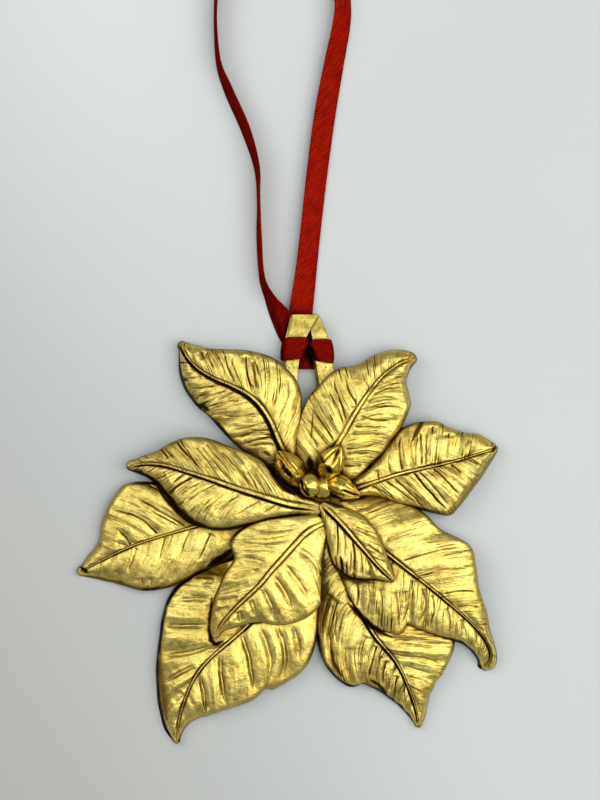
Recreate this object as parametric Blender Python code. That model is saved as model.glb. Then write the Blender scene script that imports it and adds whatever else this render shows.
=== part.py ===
# Poinsettia ornament: a cast brass flower of ten bracts and four flower buds, a folded hanging
# strip fixed behind it, and a red satin ribbon hitched to the strip.
# It lies on its back: +Z comes out of the flower's face and +Y points to the hanging strip.
# The origin is on the surface that it lies on, under the middle of the brass work.
# Sizes are in millimetres up to the meshes, which are in metres.
import math

import bmesh
import bpy
import numpy as np
from mathutils import Vector

for old in list(bpy.data.objects):
    bpy.data.objects.remove(old, do_unlink=True)

mm = 0.001

# A bract is a cast sheet with a raised midrib and shallow pleats that follow its side veins.
SHEET_THICKNESS = 1.1
MARGIN_THICKNESS = 0.8
RIB_HEIGHT = 0.55
RIB_FOOT = 0.8
PLEAT_DEPTH = 0.3
TIP_HALF_WIDTH = 0.35
# Side veins leave the midrib at these angles, in degrees, at the base and at the tip.
BASE_SLANT = 68.0
TIP_SLANT = 38.0
STATIONS = 21
# Share of a route over which its direction is evened out.
HEADING_EASE = 0.07

# Each half of a blade swells this far between its midrib and its margin, and its margin reaches
# its full drop at this share of the midrib.
BELLY = 0.5
DROOP_START = 0.3

# Dome behind the bracts, flat on its back.
HUB_CENTRE = (6.1, 7.5)
HUB_RADIUS = 9.0
HUB_RIM_HEIGHT = 2.4
HUB_TOP_RADIUS = 3.6
HUB_HEIGHT = 6.8
HUB_SIDES = 32

# Gap between pieces that touch.
CLEARANCE = 0.3

# Flower buds: each runs from its base to its tip, and a slit mouth cuts across the tip.
BUD_SIDES = 14
BUD_RINGS = 8
MOUTH_WIDTH = 0.35
MOUTH_DEPTH = 0.9
BUDS = {
    "bud_left": {"base": (3.3, 11.7, 7.4), "tip": (-3.0, 16.2, 8.6), "radius": 2.1, "mouth_turn": 86.0},
    "bud_middle": {"base": (5.4, 9.6, 6.6), "tip": (3.6, 9.2, 10.6), "radius": 2.4, "mouth_turn": 80.0},
    "bud_top": {"base": (7.6, 11.2, 7.2), "tip": (10.6, 17.4, 10.4), "radius": 2.6, "mouth_turn": 4.0},
    "bud_right": {"base": (8.0, 10.0, 7.6), "tip": (14.7, 8.4, 9.4), "radius": 2.1, "mouth_turn": 86.0},
}

# Hanging strip: stations give Y, the left foot, the left shoulder and the right edge of each
# leg from the fold down to the hub. The left leg lies over the right one at the fold.
STRIP_THICKNESS = 1.1
STRIP_LEVEL = 3.2
FOLD_STEP = 0.5
LEFT_LEG = (
    (45.3, 0.7, 1.2, 6.7),
    (42.4, 0.0, 0.6, 5.0),
    (40.7, -0.4, 0.3, 4.1),
    (38.8, -0.6, 0.0, 3.2),
    (36.1, -0.7, -0.2, 2.6),
    (33.4, -0.8, -0.4, 2.3),
    (11.0, -2.4, -2.0, 0.6),
)
RIGHT_LEG = (
    (45.1, 4.0, 4.4, 6.9),
    (42.4, 4.5, 4.9, 8.0),
    (40.5, 4.7, 5.3, 8.7),
    (37.5, 4.9, 5.7, 9.3),
    (34.8, 5.1, 6.1, 9.6),
    (31.5, 5.2, 6.8, 10.4),
    (14.0, 7.4, 9.0, 12.3),
)

# Red ribbon. The solids are stouter than the satin, which is 0.3 thick.
RIBBON_WIDTH = 5.0
RIBBON_THICKNESS = 0.5
FLOOR_GAP = 0.05
HITCH_WALL = 0.4
HITCH_TOP = 40.8
HITCH_BOTTOM = 35.6
BIGHT_LOW = 33.9
BIGHT_HIGH = 38.4
# Routes in X, Y, Z and roll, from the hitch to the knot.
LEFT_ROUTE = (
    (0.7, 41.3, 0.35, 0.0),
    (-0.9, 44.7, 0.35, -3.0),
    (-3.4, 48.7, 1.9, -40.0),
    (-5.2, 53.1, 2.6, -72.0),
    (-5.9, 61.9, 2.6, -92.0),
    (-6.0, 69.5, 2.6, -95.0),
    (-6.4, 76.6, 2.6, -78.0),
    (-8.8, 84.6, 2.4, -64.0),
    (-12.4, 92.8, 2.4, -66.0),
    (-14.6, 99.5, 2.6, -80.0),
    (-15.0, 111.5, 2.6, -82.0),
    (-13.2, 122.0, 2.2, -58.0),
    (-8.8, 132.5, 1.2, -24.0),
    (-3.6, 142.0, 0.6, -5.0),
    (0.6, 149.4, 0.5, 0.0),
)
RIGHT_ROUTE = (
    (2.9, 42.2, 1.2, 0.0),
    (2.9, 45.9, 1.25, 10.0),
    (3.8, 53.1, 1.5, 28.0),
    (4.8, 61.9, 1.7, 34.0),
    (6.1, 73.7, 1.7, 32.0),
    (7.9, 87.3, 1.6, 30.0),
    (10.0, 99.0, 1.9, 38.0),
    (11.4, 106.2, 2.3, 54.0),
    (11.7, 111.5, 2.5, 60.0),
    (10.6, 121.0, 2.3, 46.0),
    (7.8, 131.5, 2.0, 24.0),
    (4.6, 141.0, 1.7, 6.0),
    (1.4, 149.4, 1.4, 0.0),
)
ROUTE_STATIONS = 34

# Knot that ties the two ends, with the tails beyond it.
KNOT_CENTRE = (1.0, 153.4, 1.9)
KNOT_SIZE = (4.2, 3.6, 1.8)
TAIL_LENGTH = 12.0
TAIL_SPREAD = 16.0

# Each bract: the midrib's route from its base to its tip, the half-widths at every tenth of it
# along the side veins, the heights of its face beside the midrib at equal steps, and how far
# each margin drops below the midrib. Left and right are seen from base to tip. A notch in a
# margin has its side, its place along the midrib, its depth and its spread.
BRACTS = {
    "upper_left": {
        "rib": ((2.7, 10.2), (-1.3, 17.4), (-5.3, 25.2), (-13.7, 31.7), (-22.9, 39.9)),
        "left": (2.0, 3.5, 8.5, 12.0, 12.0, 10.3, 9.6, 8.5, 6.0, 3.1),
        "right": (2.0, 2.5, 7.5, 9.6, 11.3, 10.6, 8.5, 6.1, 3.9, 2.2),
        "heights": (5.2, 6.8, 5.8, 3.0),
        "droop": (2.0, 1.0),
    },
    "upper_right": {
        "rib": ((7.3, 11.9), (10.1, 18.0), (13.6, 24.9), (18.2, 31.2), (23.3, 35.7), (27.3, 36.7)),
        "left": (3.0, 8.5, 10.7, 10.4, 9.1, 8.2, 5.8, 5.1, 3.8, 2.0),
        "right": (3.0, 10.0, 11.4, 12.0, 12.8, 11.2, 8.7, 6.3, 4.6, 3.0),
        "heights": (5.6, 7.2, 6.6, 3.8),
        "droop": (1.2, 1.2),
    },
    "right": {
        "rib": ((9.0, 7.3), (14.7, 9.1), (23.7, 12.1), (34.2, 14.7), (44.5, 17.4)),
        "left": (2.0, 3.0, 4.8, 9.3, 11.2, 11.1, 9.0, 7.1, 5.6, 3.1),
        "right": (2.0, 2.2, 4.0, 8.8, 13.3, 12.4, 10.0, 7.7, 5.4, 3.0),
        "heights": (5.2, 6.4, 6.0, 3.2),
        "droop": (1.2, 1.5),
    },
    "left_top": {
        "rib": ((7.3, 4.2), (-3.6, 7.1), (-14.1, 10.7), (-24.6, 13.5), (-33.8, 13.4)),
        "left": (1.5, 2.5, 5.3, 11.0, 12.7, 11.8, 9.5, 7.1, 4.6, 2.7),
        "right": (2.0, 2.0, 5.2, 8.2, 8.8, 9.6, 8.9, 6.7, 4.0, 2.5),
        "heights": (7.0, 8.6, 7.4, 4.2),
        "droop": (1.6, 1.2),
    },
    "far_left": {
        "rib": ((5.2, 6.7), (-7.8, 4.2), (-19.3, 1.0), (-33.0, -3.4), (-44.5, -9.3)),
        "left": (1.5, 2.4, 3.6, 5.8, 9.9, 13.6, 13.0, 10.2, 7.0, 3.8),
        "right": (1.5, 2.0, 3.2, 5.8, 11.7, 15.8, 13.7, 9.7, 5.1, 2.8),
        "heights": (3.4, 4.6, 4.2, 1.0),
        "droop": (1.4, 1.2),
    },
    "lower_left": {
        "rib": ((6.5, 2.7), (-0.4, -10.8), (-8.6, -20.0), (-18.3, -28.8), (-22.3, -37.6), (-23.5, -45.4)),
        "left": (2.0, 4.7, 9.8, 16.5, 17.0, 15.2, 13.1, 10.1, 6.2, 2.5),
        "right": (2.0, 5.0, 16.0, 18.6, 19.0, 17.0, 13.2, 9.6, 6.9, 4.2),
        "heights": (3.2, 4.5, 4.3, 1.1),
        "droop": (1.4, 2.8),
        "notches": (("left", 0.55, 1.1, 0.03),),
    },
    "centre_left": {
        "rib": ((7.3, 2.1), (2.7, -2.4), (-3.6, -8.9), (-9.9, -15.0), (-15.6, -22.3)),
        "left": (3.0, 10.5, 13.6, 13.8, 12.3, 9.9, 7.1, 5.1, 3.4, 1.5),
        "right": (2.8, 7.1, 11.5, 12.0, 9.0, 8.5, 7.3, 5.9, 4.5, 2.7),
        "heights": (7.0, 8.8, 8.3, 6.6),
        "droop": (1.2, 1.4),
    },
    "centre_right": {
        "rib": ((7.1, 6.0), (11.1, 2.1), (15.3, -2.8), (19.1, -7.2), (22.4, -10.5)),
        "left": (0.8, 2.6, 4.4, 5.3, 5.4, 4.9, 4.2, 3.5, 2.7, 1.7),
        "right": (1.2, 3.4, 6.3, 8.3, 8.5, 7.9, 6.5, 4.7, 3.1, 1.6),
        "heights": (7.4, 9.0, 9.0, 8.2),
        "droop": (0.8, 1.0),
    },
    "lower_right": {
        "rib": ((8.6, 5.0), (15.3, -0.3), (23.7, -6.8), (32.1, -13.5), (39.5, -20.2), (42.8, -25.5),
                (41.6, -29.9)),
        "left": (2.6, 9.2, 12.2, 12.5, 14.5, 11.5, 8.3, 5.4, 2.7, 1.6),
        "right": (2.5, 9.0, 15.5, 16.5, 14.5, 10.7, 9.1, 6.7, 5.7, 4.6),
        "heights": (5.2, 6.5, 5.9, 1.1),
        "droop": (1.2, 1.6),
        "notches": (("right", 0.5, 0.9, 0.03),),
    },
    "bottom": {
        "rib": ((8.2, 2.3), (12.4, -10.3), (17.8, -21.0), (23.1, -27.8), (26.6, -36.0), (27.9, -42.0)),
        "left": (1.6, 3.5, 6.1, 9.2, 13.4, 16.9, 14.6, 10.1, 5.3, 3.0),
        "right": (1.5, 2.3, 3.9, 10.2, 13.8, 12.9, 10.1, 8.0, 5.2, 2.8),
        "heights": (3.2, 4.5, 4.4, 1.1),
        "droop": (1.2, 1.4),
        "notches": (("right", 0.55, 1.0, 0.03),),
    },
}


def curve_through(points, fractions):
    # Smooth curve through the points, read with its direction at fractions of its length.
    route = np.array(points, float)
    route = np.vstack([2 * route[0] - route[1], route, 2 * route[-1] - route[-2]])
    steps = np.linspace(0.0, 1.0, 24, endpoint=False)[:, None]
    fine = []
    for a, b, c, d in zip(route[:-3], route[1:-2], route[2:-1], route[3:]):
        bend = 2 * a - 5 * b + 4 * c - d
        twist = 3 * b - a - 3 * c + d
        fine.append(0.5 * (2 * b + (c - a) * steps + bend * steps**2 + twist * steps**3))
    fine = np.vstack(fine + [route[-2:-1]])
    along = np.concatenate([[0.0], np.cumsum(np.linalg.norm(np.diff(fine[:, :3], axis=0), axis=1))])
    reach = np.asarray(fractions) * along[-1]
    slope = np.gradient(fine, along, axis=0)
    place = np.stack([np.interp(reach, along, column) for column in fine.T], axis=1)
    ease = along[-1] * HEADING_EASE
    nearby = reach[:, None] + ease * np.linspace(-1.0, 1.0, 7)
    heading = np.stack([np.interp(nearby, along, column).mean(axis=1) for column in slope.T], axis=1)
    return place, heading / np.linalg.norm(heading, axis=1)[:, None]


def profile(values, fractions):
    # Smooth run through values at equal steps.
    spread = np.linspace(0.0, 1.0, len(values))
    points = np.stack([spread, np.asarray(values, float)], axis=1)
    points = np.vstack([2 * points[0] - points[1], points, 2 * points[-1] - points[-2]])
    place = np.asarray(fractions) * (len(values) - 1)
    first = np.minimum(place.astype(int), len(values) - 2)
    t = place - first
    a, b, c, d = (points[first + k, 1] for k in range(4))
    return 0.5 * (2 * b + (c - a) * t + (2 * a - 5 * b + 4 * c - d) * t**2 + (3 * b - a - 3 * c + d) * t**3)


def turned(heading, degrees):
    # Plan directions turned to the left by an angle for each.
    angle = np.radians(degrees)
    x, y = heading.T
    return np.stack([x * np.cos(angle) - y * np.sin(angle), x * np.sin(angle) + y * np.cos(angle)], axis=1)


def sheet_surface(bract, along, across):
    # Plan places and smooth heights of a bract's face. across holds a row for each station and
    # runs from -1 at the right margin to 1 at the left one.
    place, heading = curve_through(bract["rib"], along)
    slant = BASE_SLANT + (TIP_SLANT - BASE_SLANT) * along
    left_width, right_width = half_widths(bract, along)
    left_ray = turned(heading, slant)
    right_ray = turned(heading, -slant)
    share = np.abs(across)[:, :, None]
    left_points = left_ray[:, None] * left_width[:, None, None] * share
    right_points = right_ray[:, None] * right_width[:, None, None] * share
    is_left = across > 0
    plan = place[:, None] + np.where(is_left[:, :, None], left_points, right_points)
    left_drop, right_drop = bract["droop"]
    drop = np.where(is_left, left_drop, right_drop) * np.minimum(1.0, along / DROOP_START)[:, None]
    swell = BELLY * np.sin(math.pi * np.abs(across))
    height = profile(bract["heights"], along)[:, None] + swell - drop * across**2
    return plan, height


def half_widths(bract, along):
    # Half-widths of both sides at the stations, closing to the tip, with the margin's notches.
    widths = []
    for side in ("left", "right"):
        run = profile(bract[side] + (TIP_HALF_WIDTH,), along)
        for notch_side, place, depth, spread in bract.get("notches", ()):
            if notch_side == side:
                run = run - depth * np.exp(-(((along - place) / spread) ** 2))
        widths.append(np.maximum(run, TIP_HALF_WIDTH))
    return widths


def new_object(name, mesh, material):
    # Object with one material, placed in the scene.
    mesh.materials.append(material)
    result = bpy.data.objects.new(name, mesh)
    bpy.context.scene.collection.objects.link(result)
    return result


def mesh_from(name, points, faces):
    # Closed mesh from points in millimetres, with its faces turned outwards.
    shape = bmesh.new()
    corners = [shape.verts.new([value * mm for value in point]) for point in points]
    for face in faces:
        shape.faces.new([corners[k] for k in face])
    bmesh.ops.triangulate(shape, faces=[face for face in shape.faces if len(face.verts) > 4])
    bmesh.ops.recalc_face_normals(shape, faces=shape.faces)
    mesh = bpy.data.meshes.new(name)
    shape.to_mesh(mesh)
    shape.free()
    return mesh


def grid_shell(top, bottom):
    # Faces and points of a closed sheet between two grids with the same number of rows. The top
    # has two columns for each one of the bottom.
    rows, top_columns, _ = top.shape
    bottom_columns = bottom.shape[1]
    points = np.concatenate([top.reshape(-1, 3), bottom.reshape(-1, 3)])
    first_bottom = rows * top_columns

    def upper(row, column):
        return row * top_columns + column

    def lower(row, column):
        return first_bottom + row * bottom_columns + column

    faces = []
    for row in range(rows - 1):
        after = row + 1
        for column in range(top_columns - 1):
            beside = column + 1
            faces.append((upper(row, column), upper(after, column), upper(after, beside), upper(row, beside)))
        for column in range(bottom_columns - 1):
            beside = column + 1
            faces.append((lower(row, column), lower(row, beside), lower(after, beside), lower(after, column)))
        for edge, low_edge in ((0, 0), (top_columns - 1, bottom_columns - 1)):
            faces.append((upper(row, edge), lower(row, low_edge), lower(after, low_edge), upper(after, edge)))
    for row in (0, rows - 1):
        for column in range(bottom_columns - 1):
            over = 2 * column
            faces.append((upper(row, over), upper(row, over + 1), lower(row, column)))
            faces.append((lower(row, column), upper(row, over + 1), lower(row, column + 1)))
            faces.append((upper(row, over + 1), upper(row, over + 2), lower(row, column + 1)))
    return points, faces


def bract_guide(name, bract, material):
    # One bract as a closed sheet, with its midrib and pleats raised on the face.
    along = np.linspace(0.0, 1.0, STATIONS)
    widths = half_widths(bract, along)
    foot = [np.minimum(RIB_FOOT / width, 0.2) for width in widths]
    steady = np.ones(STATIONS)
    columns = [-steady, -0.62 * steady, -0.3 * steady, -foot[1], 0 * steady]
    columns += [foot[0], 0.3 * steady, 0.62 * steady, steady]
    across = np.stack(columns, axis=1)
    plan, height = sheet_surface(bract, along, across)
    sign = np.where(np.arange(STATIONS) % 2 == 0, 1.0, -1.0)[:, None]
    blade = np.where(np.abs(across) > 0.25, np.sin(math.pi * np.abs(across)), 0.0)
    fade = np.minimum(1.0, 6 * (1 - along))[:, None]
    height = height + PLEAT_DEPTH * sign * blade * fade
    height[:, 4] += RIB_HEIGHT
    under = np.tile(np.linspace(-1.0, 1.0, 5), (STATIONS, 1))
    under_plan, under_height = sheet_surface(bract, along, under)
    sheet = SHEET_THICKNESS - (SHEET_THICKNESS - MARGIN_THICKNESS) * under**2
    under_height = np.maximum(under_height - sheet, 0.0)
    height[:, (0, -1)] = np.maximum(height[:, (0, -1)], under_height[:, (0, -1)] + MARGIN_THICKNESS)
    top = np.concatenate([plan, height[:, :, None]], axis=2)
    bottom = np.concatenate([under_plan, under_height[:, :, None]], axis=2)
    points, faces = grid_shell(top, bottom)
    guide = new_object(name, mesh_from(name, points, faces), material)
    hide_guide(guide)
    return guide


def hide_guide(guide):
    # Guides only shape other objects.
    guide.hide_render = True
    guide.display_type = "WIRE"


def combine(target, other, operation):
    # Exact boolean that stays on the target as a modifier.
    change = target.modifiers.new(other.name, "BOOLEAN")
    change.operation = operation
    change.solver = "EXACT"
    change.object = other


def turned_solid(name, outline, sides, material):
    # Solid turned about Z from an outline of (radius, height) pairs, closed at both ends.
    points = []
    for radius, level in outline:
        for step in range(sides):
            angle = 2 * math.pi * step / sides
            points.append((radius * math.cos(angle), radius * math.sin(angle), level))
    faces = [list(range(sides)), list(range((len(outline) - 1) * sides, len(outline) * sides))]
    for ring in range(len(outline) - 1):
        for step in range(sides):
            follow = (step + 1) % sides
            base = ring * sides
            faces.append((base + step, base + follow, base + sides + follow, base + sides + step))
    return new_object(name, mesh_from(name, points, faces), material)


def flower_bud(name, bud, material):
    # Swollen bud between two points, with a slit mouth cut across its tip.
    base, tip = (np.array(bud[end], float) for end in ("base", "tip"))
    axis = tip - base
    length = float(np.linalg.norm(axis))
    outline = []
    for step in range(BUD_RINGS):
        share = step / (BUD_RINGS - 1)
        swell = math.sin(math.pi * (0.12 + 0.8 * share))
        outline.append((bud["radius"] * swell**0.8, length * share))
    solid = turned_solid(name, outline, BUD_SIDES, material)
    turn = Vector(axis).to_track_quat("Z", "Y").to_euler()
    solid.location = base * mm
    solid.rotation_euler = turn
    low = (-MOUTH_WIDTH, -bud["radius"], bud["radius"])
    high = (MOUTH_WIDTH, -bud["radius"], bud["radius"])
    slit = slanted_block(name + "_slit", low, high, length - MOUTH_DEPTH, length + MOUTH_DEPTH, material)
    slit.parent = solid
    slit.rotation_euler = (0.0, 0.0, math.radians(bud["mouth_turn"]))
    hide_guide(slit)
    combine(solid, slit, "DIFFERENCE")
    hide_guide(solid)
    return solid


def strip_leg(name, stations, levels, material):
    # Run of flat strip with a sloped left side. Stations give Y, left foot, left shoulder and
    # right edge; levels give the face's height at each.
    points = []
    for (y, foot, shoulder, right), level in zip(stations, levels):
        low = level - STRIP_THICKNESS
        points += [(foot, y, low), (right, y, low), (right, y, level), (shoulder, y, level)]
    faces = [(3, 2, 1, 0), tuple(len(points) - 4 + k for k in range(4))]
    for ring in range(0, len(points) - 4, 4):
        for k in range(4):
            follow = (k + 1) % 4
            faces.append((ring + k, ring + follow, ring + 4 + follow, ring + 4 + k))
    return new_object(name, mesh_from(name, points, faces), material)


def slanted_block(name, low, high, floor, ceiling, material):
    # Block whose lower and upper ends each have their own Y, left and right.
    points = []
    for y, left, right in (low, high):
        points += [(left, y, floor), (right, y, floor), (right, y, ceiling), (left, y, ceiling)]
    faces = [(3, 2, 1, 0), (4, 5, 6, 7)]
    for k in range(4):
        follow = (k + 1) % 4
        faces.append((k, follow, 4 + follow, 4 + k))
    return new_object(name, mesh_from(name, points, faces), material)


def ribbon_run(name, route, stations, material):
    # Flat ribbon swept through points of X, Y, Z and roll; a roll over 0 lifts its left edge.
    route = np.array(route, float)
    line, heading = curve_through(route, np.linspace(0.0, 1.0, stations))
    points = []
    for (x, y, z, roll), (along_x, along_y, _, _) in zip(line, heading):
        flat = math.hypot(along_x, along_y)
        left = np.array((-along_y / flat, along_x / flat, 0.0))
        angle = math.radians(roll)
        wide = left * math.cos(angle) + np.array((0.0, 0.0, math.sin(angle)))
        thick = np.array((0.0, 0.0, math.cos(angle))) - left * math.sin(angle)
        wide *= RIBBON_WIDTH / 2
        thick *= RIBBON_THICKNESS / 2
        lift = abs(wide[2]) + abs(thick[2]) + FLOOR_GAP
        centre = np.array((x, y, max(z, lift)))
        points += [centre + wide + thick, centre + wide - thick, centre - wide - thick, centre - wide + thick]
    faces = [(0, 1, 2, 3), tuple(len(points) - 1 - k for k in range(4))]
    for ring in range(0, len(points) - 4, 4):
        for k in range(4):
            follow = (k + 1) % 4
            faces.append((ring + k, ring + 4 + k, ring + 4 + follow, ring + follow))
    return new_object(name, mesh_from(name, points, faces), material)


def make_casting(material):
    # The whole flower: hub, bracts and buds joined into one solid.
    outline = ((HUB_RADIUS, 0.0), (HUB_RADIUS, HUB_RIM_HEIGHT), (HUB_TOP_RADIUS, HUB_HEIGHT))
    casting = turned_solid("poinsettia_casting", outline, HUB_SIDES, material)
    casting.location = (HUB_CENTRE[0] * mm, HUB_CENTRE[1] * mm, 0.0)
    for name, bract in BRACTS.items():
        combine(casting, bract_guide("bract_" + name, bract, material), "UNION")
    for name, bud in BUDS.items():
        combine(casting, flower_bud(name, bud, material), "UNION")
    return casting


def make_strip(material):
    # The folded strip: both legs joined at the fold, their ends cut round to the hub.
    left_levels = [STRIP_LEVEL + FOLD_STEP] + [STRIP_LEVEL + 0.2] + [STRIP_LEVEL] * (len(LEFT_LEG) - 2)
    right_levels = [STRIP_LEVEL - FOLD_STEP] + [STRIP_LEVEL - 0.2] + [STRIP_LEVEL] * (len(RIGHT_LEG) - 2)
    strip = strip_leg("hanging_strip", LEFT_LEG, left_levels, material)
    right = strip_leg("strip_right_leg", RIGHT_LEG, right_levels, material)
    hide_guide(right)
    combine(strip, right, "UNION")
    reach = HUB_RADIUS + CLEARANCE
    hub_space = turned_solid("hub_space", ((reach, -1.0), (reach, HUB_HEIGHT)), HUB_SIDES, material)
    hub_space.location = (HUB_CENTRE[0] * mm, HUB_CENTRE[1] * mm, 0.0)
    hide_guide(hub_space)
    combine(strip, hub_space, "DIFFERENCE")
    return strip


def leg_edges(leg, y, room):
    # Left and right of a leg at a height on the page, with room on both sides.
    stations = sorted(leg)
    heights = [station[0] for station in stations]
    left = float(np.interp(y, heights, [station[1] for station in stations]))
    right = float(np.interp(y, heights, [station[3] for station in stations]))
    return y, left - room, right + room


def make_hitch(material):
    # The ribbon round both legs of the strip and across behind them, as one closed solid.
    inner_low = STRIP_LEVEL - STRIP_THICKNESS - CLEARANCE
    inner_high = STRIP_LEVEL + CLEARANCE
    outer_low = inner_low - HITCH_WALL
    outer_high = inner_high + HITCH_WALL
    outer = CLEARANCE + HITCH_WALL
    legs = (("left", LEFT_LEG), ("right", RIGHT_LEG))
    sleeves = []
    for side, leg in legs:
        low = leg_edges(leg, HITCH_BOTTOM, outer)
        high = leg_edges(leg, HITCH_TOP, outer)
        sleeves.append(slanted_block("sleeve_" + side, low, high, outer_low, outer_high, material))
    hitch, right_sleeve = sleeves
    hitch.name = "ribbon_hitch"
    hide_guide(right_sleeve)
    combine(hitch, right_sleeve, "UNION")
    bight_left = leg_edges(LEFT_LEG, BIGHT_LOW, outer)[1]
    bight_right = leg_edges(RIGHT_LEG, BIGHT_LOW, outer)[2]
    low = (BIGHT_LOW, bight_left, bight_right)
    high = (BIGHT_HIGH, bight_left, bight_right)
    bight = slanted_block("bight", low, high, outer_low - RIBBON_THICKNESS, outer_low + 0.1, material)
    hide_guide(bight)
    combine(hitch, bight, "UNION")
    for side, leg in legs:
        low = leg_edges(leg, HITCH_BOTTOM - 1.0, CLEARANCE)
        high = leg_edges(leg, HITCH_TOP + 1.0, CLEARANCE)
        space = slanted_block("leg_space_" + side, low, high, inner_low, inner_high, material)
        hide_guide(space)
        combine(hitch, space, "DIFFERENCE")
    return hitch


def make_knot(material):
    # The knot with its two flat tails.
    outline = []
    for step in range(7):
        angle = math.pi * (step / 6 - 0.5) * 0.92
        outline.append((math.cos(angle), math.sin(angle)))
    knot = turned_solid("ribbon_knot", outline, 16, material)
    knot.location = [value * mm for value in KNOT_CENTRE]
    knot.scale = KNOT_SIZE
    for side in (-1.0, 1.0):
        lean = math.radians(TAIL_SPREAD) * side
        level = 0.5 if side < 0 else 1.2
        route = []
        for share in (0.0, 0.5, 1.0):
            reach = KNOT_SIZE[1] * 0.5 + TAIL_LENGTH * share
            x = KNOT_CENTRE[0] + math.sin(lean) * reach
            y = KNOT_CENTRE[1] + math.cos(lean) * reach
            route.append((x, y, level, 0.0))
        tail = ribbon_run("tail_left" if side < 0 else "tail_right", route, 4, material)
        hide_guide(tail)
        combine(knot, tail, "UNION")
    return knot


def metal_finish(name, colour, roughness):
    # Plain metal.
    material = bpy.data.materials.new(name)
    material.use_nodes = True
    shader = material.node_tree.nodes["Principled BSDF"]
    shader.inputs["Base Color"].default_value = (*colour, 1.0)
    shader.inputs["Metallic"].default_value = 1.0
    shader.inputs["Roughness"].default_value = roughness
    return material


def satin_finish(name, colour, roughness):
    # Woven satin.
    material = bpy.data.materials.new(name)
    material.use_nodes = True
    shader = material.node_tree.nodes["Principled BSDF"]
    shader.inputs["Base Color"].default_value = (*colour, 1.0)
    shader.inputs["Roughness"].default_value = roughness
    shader.inputs["Sheen Weight"].default_value = 0.3
    return material


make_casting(metal_finish("gold_plated_brass", (0.78, 0.56, 0.16), 0.3))
make_strip(metal_finish("satin_brass_strip", (0.80, 0.62, 0.24), 0.38))
make_hitch(satin_finish("red_ribbon_hitch", (0.36, 0.012, 0.008), 0.5))
left_satin = satin_finish("red_ribbon_left", (0.36, 0.012, 0.008), 0.5)
ribbon_run("ribbon_left_strand", LEFT_ROUTE, ROUTE_STATIONS, left_satin)
right_satin = satin_finish("red_ribbon_right", (0.36, 0.012, 0.008), 0.5)
ribbon_run("ribbon_right_strand", RIGHT_ROUTE, ROUTE_STATIONS, right_satin)
make_knot(satin_finish("red_ribbon_knot", (0.36, 0.012, 0.008), 0.5))
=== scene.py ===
# Poinsettia ornament: gold-plated cast brass bracts and buds, a folded strip behind them and a red
# satin ribbon. Lengths below are in millimetres unless a note says otherwise.
import math

import bmesh
import bpy
import numpy as np
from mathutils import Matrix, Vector


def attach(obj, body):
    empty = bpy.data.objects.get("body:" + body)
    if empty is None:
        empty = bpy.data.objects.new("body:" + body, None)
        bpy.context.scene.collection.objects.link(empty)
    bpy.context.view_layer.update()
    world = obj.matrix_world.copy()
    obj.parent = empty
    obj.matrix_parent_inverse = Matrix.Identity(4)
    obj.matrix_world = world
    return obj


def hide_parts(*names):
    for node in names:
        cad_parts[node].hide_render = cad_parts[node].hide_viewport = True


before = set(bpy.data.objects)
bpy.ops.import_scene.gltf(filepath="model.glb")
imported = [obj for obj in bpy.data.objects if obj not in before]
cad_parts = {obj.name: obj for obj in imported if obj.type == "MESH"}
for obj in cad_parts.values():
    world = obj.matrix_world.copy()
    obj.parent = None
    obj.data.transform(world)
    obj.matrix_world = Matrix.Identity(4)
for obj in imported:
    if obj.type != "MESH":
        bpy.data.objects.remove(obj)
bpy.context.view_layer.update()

mm = 0.001
print("frame loaded")

# the photograph: 600 x 800 pixels, 0.21 mm each on the plane 4 mm above the table
camera = {
    "height": 500.0,
    "aim": (2.71, 27.47),
    "pixel": 0.21,
    "plane": 4.0,
    "tall": 800,
    "sensor": 36.0,
    "nearest": 10.0,
    "zero": (287.1, 530.8),  # the pixel that lies over the frame's origin
}


def onPicture(x, y):
    # place in millimetres under a pixel of the photograph
    return camera["pixel"] * (x - camera["zero"][0]), camera["pixel"] * (camera["zero"][1] - y)


def traced(trace):
    # corners in millimetres of a line that is written as pixels: x, y, x, y and so on
    return np.array([onPicture(x, y) for x, y in zip(trace[::2], trace[1::2])])


def addCamera():
    reach = camera["height"] - camera["plane"]
    data = bpy.data.cameras.new("photoCamera")
    data.sensor_width = camera["sensor"]
    data.lens = camera["sensor"] * reach / (camera["tall"] * camera["pixel"])
    data.clip_start = camera["nearest"] * mm
    eye = bpy.data.objects.new("photoCamera", data)
    eye.location = (camera["aim"][0] * mm, camera["aim"][1] * mm, camera["height"] * mm)
    bpy.context.scene.collection.objects.link(eye)
    bpy.context.scene.camera = eye


def linear(code):
    # sRGB hex to linear colour
    values = [int(code[k:k + 2], 16) / 255 for k in (1, 3, 5)]
    return tuple(v / 12.92 if v <= 0.04045 else ((v + 0.055) / 1.055) ** 2.4 for v in values) + (1.0,)


def fillInputs(tree, node, inputs):
    # values and links go to sockets by name, or in the order of the node's own sockets;
    # a node that is given as an input stands for its first output
    for socket, value in inputs.items() if isinstance(inputs, dict) else enumerate(inputs):
        if isinstance(value, bpy.types.Node):
            value = value.outputs[0]
        if isinstance(value, bpy.types.NodeSocket):
            tree.links.new(value, node.inputs[socket])
        else:
            node.inputs[socket].default_value = value


def addNode(tree, kind, inputs=(), **settings):
    # one shader node with its settings, values and links
    node = tree.nodes.new("ShaderNode" + kind)
    for name, value in settings.items():
        setattr(node, name, value)
    fillInputs(tree, node, inputs)
    return node


def newMaterial(name):
    material = bpy.data.materials.new(name)
    material.use_nodes = True
    tree = material.node_tree
    return material, tree, tree.nodes["Principled BSDF"]


def keepAtPoints(mesh, name, values):
    # a number or a vector at each point, which a material reads by its name
    values = np.asarray(values, np.float32)
    kind, field = ("FLOAT", "value") if values.ndim == 1 else ("FLOAT_VECTOR", "vector")
    mesh.attributes.new(name, kind, "POINT").data.foreach_set(field, values.ravel())


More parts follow.
